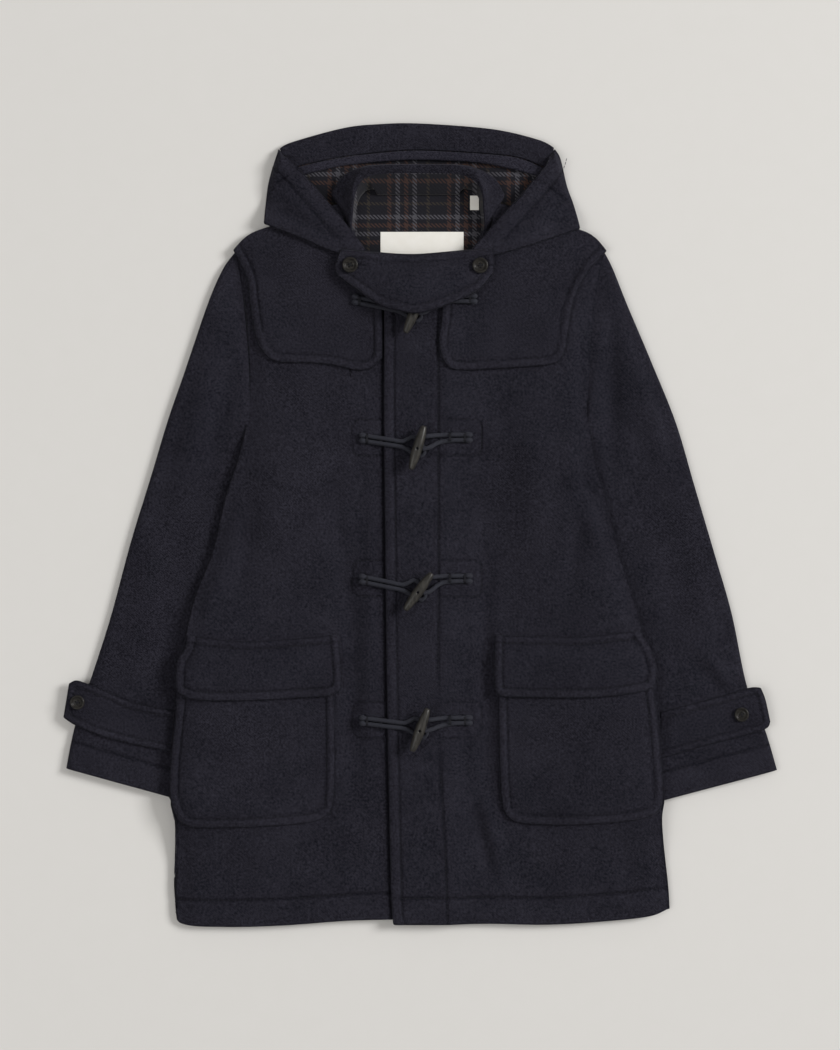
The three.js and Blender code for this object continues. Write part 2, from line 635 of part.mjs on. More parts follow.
toggles.forEach((row, i) => {
  const number = i + 1;
  const rest = row.surface(0, row.y) + layer + 2 * ropeRadius;
  const middle = rest + seam + toggleRadius;
  const body = turned(toggleProfile, 12).rotateX(Math.PI / 2);
  const toggle = add(`toggle_${number}`, body, horn);
  toggle.rotation.z = THREE.MathUtils.degToRad(-row.lean);
  toggle.position.set(row.x, row.y, middle);

  const onCloth = (x, y) => row.surface(x, y) + layer + ropeRadius;
  const lapped = rest - ropeRadius;
  const end = row.x + loopReach;
  const drop = (x, from) => row.cordsY + (row.y - row.cordsY) * fade(x, row.x, from);
  const strand = (x, offset, z) => [x, drop(x, row.loopX) + offset, z];
  const flat = onCloth(-60, row.cordsY);
  cord(`loop_${number}`, [
    strand(row.loopX, strandGap, flat),
    strand(-58, strandGap, flat + 0.4),
    strand(-38, strandGap, lapped + 0.4),
    strand(row.x, strandGap + 0.4, lapped),
    [end - 2.6, row.y + strandGap, lapped],
    [end, row.y, lapped],
    [end - 2.6, row.y - strandGap, lapped],
    strand(row.x, -strandGap - 0.4, lapped),
    strand(-38, -strandGap, lapped + 0.4),
    strand(-58, -strandGap, flat + 0.4),
    strand(row.loopX, -strandGap, flat),
  ], 26);

  const ropeEnd = onCloth(row.ropeX, row.cordsY);
  const lean = THREE.MathUtils.degToRad(row.lean);
  const side = toggleRadius / Math.cos(lean) + seam;
  for (const [letter, turn] of [['a', 1], ['b', -1]]) {
    const slant = (turn * strandGap + ropeRadius) * Math.tan(lean);
    cord(`rope_${number}${letter}`, [
      [row.ropeX, row.cordsY + turn * strandGap, ropeEnd],
      [row.x + 44, drop(row.x + 44, row.ropeX) + turn * strandGap, onCloth(row.x + 44, row.y) + 1.4],
      [row.x + 26, drop(row.x + 26, row.ropeX) + turn * (strandGap + 0.6), lapped + 4],
      [row.x + side + slant + 6, row.y + turn * strandGap, middle - 0.4],
      [row.x + side + slant, row.y + turn * strandGap, middle],
    ], 9);
  }
});

export default coat;
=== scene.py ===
import math

import bmesh
import bpy
import numpy as np
from mathutils import Matrix, Vector


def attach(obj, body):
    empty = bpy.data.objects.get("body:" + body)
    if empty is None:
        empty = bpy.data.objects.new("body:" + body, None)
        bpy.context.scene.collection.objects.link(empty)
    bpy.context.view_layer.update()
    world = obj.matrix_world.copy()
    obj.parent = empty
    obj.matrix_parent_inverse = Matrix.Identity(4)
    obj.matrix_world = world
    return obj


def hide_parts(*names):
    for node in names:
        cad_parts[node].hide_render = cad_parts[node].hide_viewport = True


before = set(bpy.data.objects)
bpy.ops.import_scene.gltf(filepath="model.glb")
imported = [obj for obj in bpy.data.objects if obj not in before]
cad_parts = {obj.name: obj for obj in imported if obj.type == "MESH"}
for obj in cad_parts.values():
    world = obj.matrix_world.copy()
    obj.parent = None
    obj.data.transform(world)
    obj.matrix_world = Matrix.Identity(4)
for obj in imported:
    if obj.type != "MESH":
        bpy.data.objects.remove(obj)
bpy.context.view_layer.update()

scene = bpy.context.scene

# ---- Where the coat lies ---------------------------------
# A plain pale table top, seen from straight above. A broad lamp beyond the left shoulder and the
# room light it, and a weak lamp fills in from the other side.

MM = 0.001  # the cutter's measures below are in millimetres

VIEW_HEIGHT = 1.302
LENS = 85
SENSOR = 36

camera_data = bpy.data.cameras.new("camera")
camera_data.lens = LENS
camera_data.sensor_width = SENSOR
camera = bpy.data.objects.new("camera", camera_data)
camera.location = (0, 0, VIEW_HEIGHT * LENS / SENSOR)
scene.collection.objects.link(camera)
scene.camera = camera
scene.view_settings.view_transform = "Standard"

for name, place, size, watts in (
    ("key", (7.3, 2.4, 4.9), 3.0, 668),
    ("fill", (-2.6, -0.6, 3.8), 2.6, 45),
):
    lamp_data = bpy.data.lights.new(name, "AREA")
    lamp_data.size = size
    lamp_data.energy = watts
    lamp = bpy.data.objects.new(name, lamp_data)
    lamp.location = place
    lamp.rotation_euler = (-Vector(place)).to_track_quat("-Z", "Y").to_euler()
    scene.collection.objects.link(lamp)

scene.world = bpy.data.worlds.new("room")
scene.world.use_nodes = True
room = scene.world.node_tree.nodes["Background"]
room.inputs["Color"].default_value = (1, 0.983, 0.957, 1)
room.inputs["Strength"].default_value = 0.37


class Wire:
    """A socket in a material, so that its arithmetic reads as plain expressions."""

    def __init__(self, finish, socket):
        self.finish = finish
        self.socket = socket

    def maths(self, operation, *others):
        return self.finish.node("ShaderNodeMath", {"operation": operation}, self, *others)

    def __add__(self, other):
        return self.maths("ADD", other)

    def __sub__(self, other):
        return self.maths("SUBTRACT", other)

    def __rsub__(self, other):
        return self.maths("MULTIPLY_ADD", -1, other)

    def __mul__(self, other):
        return self.maths("MULTIPLY", other)

    def __truediv__(self, other):
        return self.maths("DIVIDE", other)

    def clipped(self):
        return self.maths("MAXIMUM", 0).maths("MINIMUM", 1)


class Finish:
    """A material being put together. Constant values go straight to its shader's sockets."""

    def __init__(self, name, **constants):
        self.material = bpy.data.materials.new(name)
        self.material.use_nodes = True
        self.tree = self.material.node_tree
        self.shader = self.tree.nodes["Principled BSDF"]
        for socket, value in constants.items():
            self.shader.inputs[socket.replace("_", " ")].default_value = value

    def node(self, kind, settings, *values, out=0, **named):
        made = self.tree.nodes.new(kind)
        for key, value in settings.items():
            setattr(made, key, value)
        pairs = list(zip(made.inputs, values))
        pairs += [(made.inputs[key.replace("_", " ")], value) for key, value in named.items()]
        for socket, value in pairs:
            if isinstance(value, Wire):
                self.tree.links.new(value.socket, socket)
            else:
                socket.default_value = value
        return Wire(self, made.outputs[out])

    def place(self):
        return self.node("ShaderNodeTexCoord", {}, out="Object")

    def along(self, axis):
        return self.node("ShaderNodeSeparateXYZ", {}, self.place(), out=axis)

    def noise(self, scale, detail=2.0, roughness=0.5, vector=None):
        return self.node(
            "ShaderNodeTexNoise", {}, Vector=vector or self.place(),
            Scale=scale, Detail=detail, Roughness=roughness,
        )

    def mix(self, factor, first, second):
        made = self.tree.nodes.new("ShaderNodeMix")
        made.data_type = "RGBA"
        for index, value in ((0, factor), (6, first), (7, second)):
            socket = made.inputs[index]
            if isinstance(value, Wire):
                self.tree.links.new(value.socket, socket)
            else:
                socket.default_value = value
        return Wire(self, made.outputs[2])

    def feed(self, **sockets):
        for socket, wire in sockets.items():
            self.tree.links.new(wire.socket, self.shader.inputs[socket.replace("_", " ")])

    def bump(self, height, strength, distance):
        bumped = self.node("ShaderNodeBump", {}, Height=height, Strength=strength, Distance=distance)
        self.feed(Normal=bumped)


TABLE_REACH = 4
TABLE_GAP = 0.0004  # between the table and the cloth on it

table = Finish("table_top", Roughness=0.75)
grain = table.noise(38, 3)
table.feed(Base_Color=table.mix(grain, (0.715, 0.7, 0.672, 1), (0.73, 0.715, 0.69, 1)))
table_mesh = bmesh.new()
bmesh.ops.create_grid(table_mesh, x_segments=1, y_segments=1, size=TABLE_REACH)
bmesh.ops.translate(table_mesh, verts=table_mesh.verts, vec=(0, 0, -TABLE_GAP))
table_data = bpy.data.meshes.new("table_top")
table_mesh.to_mesh(table_data)
table_mesh.free()
table_data.materials.append(table.material)
table_top = bpy.data.objects.new("table_top", table_data)
scene.collection.objects.link(table_top)

# ---- Back ------------------------------------------------
# The back lies on the table with its plaid face up. It is heavy double-faced wool, navy outside,
# cut in one piece from the hem to the shoulders and the neck, and its sides ride over the sleeves.

CLOTH = 3.2
LIGHT = 2.8
AIR = 4.0
LAYER = 1.0
SIDE_ROLL = 26
TUCK_LIFT = 10.8
ARMPIT = 143
CUFF_END = -345

BODY_SIDES = np.array([  # height on the body, right edge, left edge
    (341, -229, 229), (286, -220, 219), (223, -214, 213), (180, -212, 210), (143, -213, 209),
    (84, -224, 216), (33, -241, 230), (-32, -256, 246), (-94, -280, 265), (-155, -293, 283),
    (-192, -301, 293), (-291, -307, 299), (-335, -308, 302), (-368, -301, 299), (-443, -303, 307),
    (-474, -300, 309),
], float)
SHOULDER = [(229, 341), (216, 355), (196, 366), (137, 384), (92, 398)]
LEFT_SHOULDER = SHOULDER[::-1]
RIGHT_SHOULDER = [(-x, y) for x, y in SHOULDER]
RIGHT_SIDE = [(right, y) for y, right, _ in BODY_SIDES]
LEFT_SIDE = [(left, y) for y, _, left in BODY_SIDES]


def fade(value, full, none):
    """1 at full, easing to 0 at none."""
    t = np.clip((value - none) / (full - none), 0, 1)
    return t * t * (3 - 2 * t)


def inward(x, y):
    """Distance in from the body's nearer side."""
    heights = BODY_SIDES[::-1, 0]
    right = np.interp(y, heights, BODY_SIDES[::-1, 1])
    left = np.interp(y, heights, BODY_SIDES[::-1, 2])
    return np.where(x < 0, x - right, left - x)


def under_shoulder(x, y):
    """Distance down from the shoulder seam."""
    across, up = np.array(SHOULDER[::-1], float).T
    return np.interp(np.abs(x), across, up) - y


def back_under(x, y):
    along = fade(y, 84, ARMPIT) * fade(y, CUFF_END - 4, -425)
    return TUCK_LIFT * along * fade(inward(x, y), 32, 180)


def back_top(x, y):
    return back_under(x, y) + CLOTH


CREASE_SCALE = 2.4


def creased(x, y, creases):
    """Sum of soft troughs and ridges: each a line, its reach to the sides, and its height."""
    height = np.zeros_like(x)
    for x0, y0, x1, y1, reach, rise in creases:
        dx, dy = x1 - x0, y1 - y0
        along = ((x - x0) * dx + (y - y0) * dy) / (dx * dx + dy * dy)
        near = np.clip(along, 0, 1)
        off = np.hypot(x - x0 - near * dx, y - y0 - near * dy)
        height += rise * np.exp(-((off / reach) ** 2)) * (0.35 + 0.65 * np.sin(np.pi * near))
    return CREASE_SCALE * height


def waver(x, y, height, seed):
    """Slow unevenness of cloth that was smoothed out by hand."""
    waves = (
        np.sin(x / 37 + y / 61 + seed) + np.sin(x / 23 - y / 83 + 2.1 * seed)
        + 0.6 * np.sin(y / 29 + x / 97 + 3.7 * seed) + 0.4 * np.sin(x / 13 + y / 17 + 1.3 * seed)
    )
    return height * waves / 3


def curve(points, steps=20):
    """A smooth line through points, given as a function of the share of its length."""
    p = np.array(points, float)
    p = np.vstack([p[0], p, p[-1]])
    t = np.arange(steps)[:, None] / steps
    spans = []
    for a, b, c, d in zip(p, p[1:], p[2:], p[3:]):
        bend = (2 * a - 5 * b + 4 * c - d) * t**2 + (3 * b - a - 3 * c + d) * t**3
        spans.append(b + 0.5 * ((c - a) * t + bend))
    line = np.vstack(spans + [p[-1:]])
    length = np.r_[0, np.cumsum(np.linalg.norm(np.diff(line, axis=0), axis=1))]
    share_at = length / length[-1]
    return lambda share: np.stack([np.interp(share, share_at, column) for column in line.T], -1)


def off_line(x, y, line):
    """Distance from a line of points, squared."""
    nearest = np.full(x.shape, np.inf)
    for (ax, ay), (bx, by) in zip(line, line[1:]):
        dx, dy = bx - ax, by - ay
        near = np.clip(((x - ax) * dx + (y - ay) * dy) / (dx * dx + dy * dy), 0, 1)
        nearest = np.minimum(nearest, (x - ax - near * dx) ** 2 + (y - ay - near * dy) ** 2)
    return nearest


EDGES = ("top", "bottom", "left", "right")
RIM_POINTS = 70


class Pattern:
    """The outline of a cut piece: top and bottom run left to right, and its two sides run down."""

    def __init__(self, top, bottom, left, right):
        self.sides = [curve(side) for side in (top, bottom, left, right)]
        shares = np.linspace(0, 1, RIM_POINTS)
        self.rim = {name: side(shares) for name, side in zip(EDGES, self.sides)}

    def at(self, u, v):
        top, bottom, left, right = self.sides
        u, v = u[:, None], v[:, None]
        a, b, c, d = top(0.0), top(1.0), bottom(0.0), bottom(1.0)
        down = (1 - v) * top(u[:, 0]) + v * bottom(u[:, 0])
        across = (1 - u) * left(v[:, 0]) + u * right(v[:, 0])
        return down + across - (1 - u) * (1 - v) * a - u * (1 - v) * b - (1 - u) * v * c - u * v * d

    def size(self):
        line = np.vstack(list(self.rim.values()))
        return np.ptp(line, axis=0) * MM

    def area(self):
        line = np.vstack([
            self.rim["top"], self.rim["right"], self.rim["bottom"][::-1], self.rim["left"][::-1],
        ]) * MM
        x, y = line.T
        return abs(np.dot(x, np.roll(y, 1)) - np.dot(y, np.roll(x, 1))) / 2

    def from_edge(self, x, y, names):
        """Distance in from the named edges."""
        return np.sqrt(np.minimum.reduce([off_line(x, y, self.rim[name]) for name in names]))

    def seam(self, names, inset):
        """A line that runs at a constant distance inside the named edges, in their order."""
        run = np.vstack([self.rim[name] for name in names])
        run = run[np.r_[True, np.linalg.norm(np.diff(run, axis=0), axis=1) > 0.01]]
        along = np.gradient(run, axis=0)
        along /= np.linalg.norm(along, axis=1)[:, None]
        across = np.stack([-along[:, 1], along[:, 0]], -1)
        middle = np.vstack(list(self.rim.values())).mean(axis=0)
        if np.sum((middle - run) * across) < 0:
            across = -across
        inner = run + across * inset
        clear = self.from_edge(*inner.T, names) > inset - 0.25
        return inner[clear]


RIM_STEP = 2.2


def ruled(length, step, first=0, last=0, bands=(), fine=1.5):
    """Shares of a length at even steps, with fine ones over its ends and over given bands."""
    fine_spans = [(-1, first), (length - last - fine, length), *bands]
    marks = [0.0, RIM_STEP]
    while marks[-1] < length:
        near = any(start < marks[-1] < end for start, end in fine_spans)
        marks.append(marks[-1] + (fine if near else step))
    marks = [mark for mark in marks if mark < length - RIM_STEP]
    return np.array(marks + [length]) / length


def cut(pattern, across, down, thick):
    """A flat piece of cloth with rounded edges, from its pattern."""
    sheet = bmesh.new()
    columns, rows = len(across) - 1, len(down) - 1
    bmesh.ops.create_grid(sheet, x_segments=columns, y_segments=rows, size=1)
    bmesh.ops.translate(sheet, verts=sheet.verts, vec=(0, 0, thick))
    bmesh.ops.solidify(sheet, geom=sheet.faces[:], thickness=thick)
    spots = np.array([vert.co for vert in sheet.verts])
    u = across[np.rint((spots[:, 0] + 1) / 2 * columns).astype(int)]
    v = down[rows - np.rint((spots[:, 1] + 1) / 2 * rows).astype(int)]
    for vert, (x, y) in zip(sheet.verts, pattern.at(u, v)):
        vert.co.xy = x, y
    sheet.normal_update()
    rim = [edge for edge in sheet.edges if edge.calc_face_angle(0) > 1]
    bmesh.ops.bevel(
        sheet, geom=rim, offset=0.44 * thick, segments=3, profile=0.5, affect="EDGES", material=-1,
    )
    return sheet


def settle(sheet, thick, under, relief=None, painted_shading=None):
    """Lay a flat piece on what is under it and work its stitched face. Its relief, less a painted shade
    along its sewn rim, is stored as painted shading: darker in furrows, lighter on rolls.
    """
    spots = np.array([vert.co for vert in sheet.verts])
    x, y, z = spots.T
    lift = (relief(x, y) if relief else 0 * x) * np.clip(z / thick, 0, 1)
    relief_and_shade = sheet.verts.layers.float.new("relief_and_shade")
    shade = lift - (painted_shading(x, y) if painted_shading else 0)
    for vert, up, amount in zip(sheet.verts, under(x, y) + z + lift, shade):
        vert.co.z = up
        vert[relief_and_shade] = amount
    sheet.normal_update()


def finished(name, sheet, *finishes):
    """The piece as an object in metres."""
    bmesh.ops.scale(sheet, verts=sheet.verts, vec=(MM, MM, MM))
    mesh = bpy.data.meshes.new(name)
    sheet.to_mesh(mesh)
    sheet.free()
    for finish in finishes:
        mesh.materials.append(finish.material)
    mesh.polygons.foreach_set("use_smooth", [True] * len(mesh.polygons))
    piece = bpy.data.objects.new(name, mesh)
    scene.collection.objects.link(piece)
    return piece


def placed(piece, node=None):
    """Put the piece on the coat's one body, and in the place of its solid if it has one."""
    if node:
        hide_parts(node)
    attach(piece, "root")


def sewn(piece, node, pattern, layers=1):
    """Cloth in the place of its solid, cut to its pattern and laid down."""
    placed(piece, node)
    width, length = pattern.size()
    layers * pattern.area()


def wool_finish(name, shade=1.0):
    """Thick navy wool, napped: clouded, with short fibres that catch the light, and painted shading read
    from each piece's relief.
    """
    wool = Finish(
        name, Roughness=0.95, Specular_IOR_Level=0.12, Sheen_Weight=0.07, Sheen_Roughness=0.4,
        Sheen_Tint=(0.6, 0.6, 0.72, 1),
    )
    clouds = wool.noise(22, 2)
    felted = wool.noise(480, 3, 0.7)
    fibres = wool.noise(1500, 3, 0.75)
    slant = wool.along("X") + wool.along("Y") * 1.1 + felted * (1.6 * MM)
    ribs = ((slant / (3.3 * MM)).maths("FRACT") - 0.5).maths("ABSOLUTE") * 2
    relief_and_shade = wool.node("ShaderNodeAttribute", {"attribute_name": "relief_and_shade"}, out="Fac")
    texture = (felted - 0.5) * 3.1 + (fibres - 0.5) * 3.0 + (ribs - 0.5) * 0.35
    # Painted shade where the relief sinks and along shaded rims, and a faint painted highlight where it
    # rises.
    painted_shading = relief_and_shade.maths("MINIMUM", 0) * 0.28 + relief_and_shade.maths("MAXIMUM", 0) * 0.06
    tone = (texture + (clouds - 0.5) * 0.55 + painted_shading + 0.44).clipped()
    dark = (0.0035 * shade, 0.0034 * shade, 0.0062 * shade, 1)
    light = (0.0285 * shade, 0.0272 * shade, 0.0385 * shade, 1)
    wool.feed(Base_Color=wool.mix(tone, dark, light))
    wool.bump(felted * 0.6 + fibres * 0.4 + ribs * 0.1, 0.8, 0.0009)
    return wool


def stripe(coordinate, centre, width, repeat):
    """1 inside a woven stripe, 0 outside, with slightly soft edges."""
    phase = (coordinate / repeat + (100.5 - centre / repeat)).maths("FRACT")
    off = (phase - 0.5).maths("ABSOLUTE") * repeat
    return ((width / 2 - off) / (0.5 * MM) + 0.5).clipped()


def plaid_finish(name):
    """The plaid face of the wool: rust and pale lines on navy, in a steep twill."""
    plaid = Finish(
        name, Roughness=0.93, Specular_IOR_Level=0.2, Sheen_Weight=0.12, Sheen_Roughness=0.5,
    )
    x, y = plaid.along("X"), plaid.along("Y")
    navy, rust, pale, moss = (
        (0.0085, 0.0083, 0.0122, 1), (0.068, 0.034, 0.025, 1), (0.098, 0.095, 0.11, 1),
        (0.044, 0.035, 0.025, 1),
    )
    lines = ((0, 5.0, rust), (10.5, 5.4, pale), (21, 5.0, rust), (31.5, 5.4, pale), (48, 3.6, moss))

    def threads(coordinate, shift):
        colour = navy
        for centre, width, dye in lines:
            mask = stripe(coordinate, (centre + shift) * MM, width * MM, 74 * MM)
            colour = plaid.mix(mask, colour, dye)
        return colour

    twill = ((x + y * 1.1) / (5.0 * MM)).maths("FRACT")
    over = ((twill - 0.5).maths("ABSOLUTE") * 7 - 1.25).clipped()
    fuzz = plaid.noise(700, 3, 0.6)
    woven = plaid.mix(over, threads(x, -38), threads(y, 350))
    plaid.feed(Base_Color=plaid.mix(fuzz * 0.75, woven, navy))
    plaid.bump(over * 0.5 + fuzz * 0.6, 0.5, 0.0005)
    return plaid


coat_wool = wool_finish("coat_wool")
plaid_face = plaid_finish("plaid_face")

BACK = Pattern(
    top=[(-226.5, 341), *RIGHT_SHOULDER[1:-1], (-100, 397), (-66, 408), (-30, 412), (26, 412),
         (64, 408), (100, 397), *LEFT_SHOULDER[1:-1], (226.5, 341)],
    bottom=[(-297.5, -474), (-292, -485), (-170, -489), (0, -484), (170, -487), (298, -478),
            (306.5, -474)],
    left=[(x + 2.5, y) for x, y in RIGHT_SIDE],
    right=[(x - 2.5, y) for x, y in LEFT_SIDE],
)

STITCH = 3.1
STITCH_PITCH = 4.3
THREAD_SIZE = (0.7, 0.5)
EDGE_SEAM = 10.5
SIDE_TURN = 5  # the plaid face ends this far in from a seam
# Painted shade along the sewn rims of applied pieces: its depth in the shading attribute, and its width
# in millimetres
RIM_SHADE, RIM_WIDTH = 2.0, 1.6


def lay(
    node, pattern, across, down, thick, under, relief=None, rim=(), finishes=None,
):
    """Cut a piece, settle it, and give back the height of its face."""
    # Painted shade along the named rim edges, darkest at the edge and fading within a few millimetres.
    def painted_shading(x, y):
        return RIM_SHADE * np.exp(-((pattern.from_edge(x, y, rim) / RIM_WIDTH) ** 2))

    sheet = cut(pattern, across, down, thick)
    settle(sheet, thick, under, relief, painted_shading if rim else None)
    if finishes:
        middles = np.array([face.calc_center_median() for face in sheet.faces])
        inside = pattern.from_edge(middles[:, 0], middles[:, 1], ("left", "right")) > SIDE_TURN
        for face, deep in zip(sheet.faces, inside):
            face.material_index = int(face.normal.z > 0.5 and deep)
    piece = finished(node + "_cloth", sheet, *(finishes or [coat_wool]))
    sewn(piece, node, pattern)
    return lambda x, y: under(x, y) + thick + (relief(x, y) if relief else 0)


def topstitched(pattern, names, inset=EDGE_SEAM, rise=1.5, groove=1.5):
    """An edge with its allowance turned in: a soft roll, then the furrow that its stitches pull."""
    def relief(x, y):
        off = pattern.from_edge(x, y, names)
        roll = rise * np.exp(-(((off - 0.5 * inset) / (0.42 * inset)) ** 2))
        return roll - groove * np.exp(-(((off - inset) / 1.5) ** 2))
    return relief


def furrow(line, width=1.6, depth=0.8):
    """The furrow along any other row of stitches."""
    return lambda x, y: -depth * np.exp(-off_line(x, y, line) / width**2)


def edge_rows(pattern, sides, inset, face):
    """The rows of stitches along a piece's edges, one for each side."""
    return [(pattern.seam((side,), inset), face) for side in sides]


thread = Finish(
    "thread", Base_Color=(0.007, 0.007, 0.011, 1), Roughness=0.7, Specular_IOR_Level=0.25,
)
thread.bump(thread.noise(2600, 2), 0.3, 0.0002)


def stitched(name, rows):
    """Rows of stitches, each a line of places and the height of the cloth under it."""
    threads = bmesh.new()
    for line, surface in rows:
        line = np.array(line, float)
        length = np.r_[0, np.cumsum(np.linalg.norm(np.diff(line, axis=0), axis=1))]
        middles = np.arange(STITCH_PITCH / 2, length[-1] - STITCH_PITCH / 2, STITCH_PITCH)
        ends = []
        for half in (-STITCH / 2, STITCH / 2):
            x, y = (np.interp(middles + half, length, column) for column in line.T)
            ends.append(np.stack([x, y, surface(x, y)], -1))
        for start, end in zip(*ends):
            run = Vector(end - start)
            turn = run.to_track_quat("X", "Z").to_matrix().to_4x4()
            place = Matrix.Translation((start + end) / 2)
            size = Matrix.Diagonal((run.length, *THREAD_SIZE, 1))
            bmesh.ops.create_cube(threads, size=1, matrix=place @ turn @ size)
    placed(finished(name, threads, thread))


BACK_ACROSS = ruled(600, 9)
BODY_DOWN = ruled(850, 4.6, last=40, bands=((196, 264), (379, 446), (561, 628)))
lay(
    "back", BACK, BACK_ACROSS, ruled(860, 9), CLOTH, back_under,
    finishes=[coat_wool, plaid_face],
)

# ---- Sleeves ---------------------------------------------
# Each sleeve is a tube of the coat's wool, pressed flat by its own weight. It is sewn into the
# armhole, open at the cuff, hemmed there with one row of stitches, and tucked under the body.

SLEEVE_FOLD = 12
SLEEVE_LOFT = 4.6
CUFF_HEM = 33
HEM_RISE, HEM_GROOVE = 1.0, 1.9
ARMHOLE_LOFT = 3.1


def outwards(shape, middle):
    """Turn a shape's faces so that those above its middle look up."""
    bmesh.ops.recalc_face_normals(shape, faces=shape.faces)
    shape.normal_update()
    upper = sum(face.normal.z for face in shape.faces if face.calc_center_median().z > middle)
    if upper < 0:
        bmesh.ops.reverse_faces(shape, faces=shape.faces)
        shape.normal_update()


def round_tube(around, rows, capped=False):
    """A straight tube of radius 1 and length 1 along Z, in even rows."""
    tube = bmesh.new()
    bmesh.ops.create_cone(tube, cap_ends=capped, segments=around, radius1=1, radius2=1, depth=1)
    long_edges = [edge for edge in tube.edges if abs(edge.verts[0].co.z - edge.verts[1].co.z) > 0.5]
    bmesh.ops.subdivide_edges(tube, edges=long_edges, cuts=rows - 1, use_grid_fill=True)
    return tube


def sleeve(node, pattern, creases, seed):
    """Shape a sleeve from a tube, and give back the height of its upper side."""
    def hem_relief(hem):
        turned = HEM_RISE * fade(hem, CUFF_HEM - 2, CUFF_HEM + 1)
        return turned - HEM_GROOVE * np.exp(-(((hem - CUFF_HEM) / 2) ** 2))

    tube = round_tube(64, 230)
    spots = np.array([vert.co for vert in tube.verts])
    turn = np.arctan2(spots[:, 1], spots[:, 0])
    v = 0.5 - spots[:, 2]
    bunch = np.sign(np.cos(turn)) * np.abs(np.cos(turn)) ** 0.8
    u = 0.5 - 0.5 * bunch
    x, y = pattern.at(u, v).T
    start, end = pattern.at(np.zeros_like(v), v), pattern.at(np.ones_like(v), v)
    off = np.minimum(np.hypot(*(np.stack([x, y]) - start.T)), np.hypot(*(np.stack([x, y]) - end.T)))
    rise = ARMHOLE_LOFT + (SLEEVE_LOFT - ARMHOLE_LOFT) * fade(v, 0.06, 0)
    round_off = np.sqrt(np.clip(1 - (1 - np.clip(off / SLEEVE_FOLD, 0, 1)) ** 2, 0, 1))
    side = np.sign(np.round(np.sin(turn), 4))
    free = fade(off, 34, 8)
    top = side > 0
    loose = (creased(x, y, creases) + waver(x, y, 0.9, seed)) * free
    hemmed = hem_relief(pattern.from_edge(x, y, ("bottom",)))
    armhole = np.where(top, fade(v, 0.002, 0.05), 0)
    z = rise * (1 + side * round_off) + np.where(top, loose * (1 - armhole) + hemmed * round_off, 0)
    # The hem's roll and furrow are also stored as painted shading: a painted highlight on the roll and
    # painted shade in the furrow.
    relief_and_shade = tube.verts.layers.float.new("relief_and_shade")
    for vert, place, amount in zip(tube.verts, zip(x, y, z), np.where(top, hemmed, 0)):
        vert.co = place
        vert[relief_and_shade] = amount
    outwards(tube, SLEEVE_LOFT)
    bmesh.ops.solidify(tube, geom=tube.faces[:], thickness=CLOTH * 0.8)
    sewn(finished(node + "_cloth", tube, coat_wool), node, pattern, layers=2)

    def surface(x, y):
        loft = 2 * SLEEVE_LOFT + creased(x, y, creases) + waver(x, y, 0.9, seed)
        return loft + hem_relief(pattern.from_edge(x, y, ("bottom",)))

    return surface


RIGHT_SLEEVE = Pattern(
    top=[(right + 2.5, y) for y, right, _ in BODY_SIDES if y >= ARMPIT],
    bottom=[(-438, -301), (-311, -336), (-289, -342)],
    left=[(-226.5, 341), (-241, 322), (-254, 296), (-267, 262), (-292, 188), (-312, 130), (-334, 57),
          (-358, -21), (-383, -114), (-406, -186), (-427, -248), (-438, -301)],
    right=[(-210.5, 143), (-212, 115), (-216, 84), (-223, 50), (-232, 0), (-241, -40), (-262, -94),
           (-275, -155), (-283, -192), (-289, -291), (-289, -342)],
)
LEFT_SLEEVE = Pattern(
    top=[(left - 2.5, y) for y, _, left in BODY_SIDES if y >= ARMPIT],
    bottom=[(442, -303), (303, -340), (284, -345)],
    left=[(226.5, 341), (238, 319), (256, 274), (286, 203), (317, 126), (340, 48), (366, -40),
          (386, -110), (405, -200), (427, -253), (442, -303)],
    right=[(206.5, 143), (207, 115), (209, 84), (214, 50), (222, 0), (230, -40), (247, -94), (265, -155),
           (275, -192), (281, -291), (284, -345)],
)
RIGHT_SLEEVE_CREASES = [  # from, to, reach, height
    (-246, 250, -300, 20, 20, 2.2), (-232, 200, -262, 60, 12, -1.6), (-330, -30, -352, -170, 22, 1.4),
    (-292, -40, -318, -190, 14, -1.2), (-262, 20, -300, -80, 10, 1.1), (-380, -200, -330, -150, 12, -0.8),
    (-300, 150, -330, 20, 12, -0.9),
]
LEFT_SLEEVE_CREASES = [
    (262, 240, 318, 40, 22, 2.2), (236, 262, 238, 60, 11, -2.0), (330, 20, 356, -150, 20, 1.3),
    (350, -158, 392, -206, 9, 1.5), (340, -168, 384, -216, 7, -1.4), (270, 0, 300, -130, 16, 1.2),
    (300, 140, 330, 60, 13, -0.9),
]
right_sleeve_top = sleeve("sleeve_right", RIGHT_SLEEVE, RIGHT_SLEEVE_CREASES, 0.4)
left_sleeve_top = sleeve("sleeve_left", LEFT_SLEEVE, LEFT_SLEEVE_CREASES, 2.3)

# ---- Fronts ----------------------------------------------
# Two panels of the same wool lie on the back and close on it along the side seams. The left one
# laps over the right one. Both are hemmed, and the lap has a stitched edge and a stitched facing.

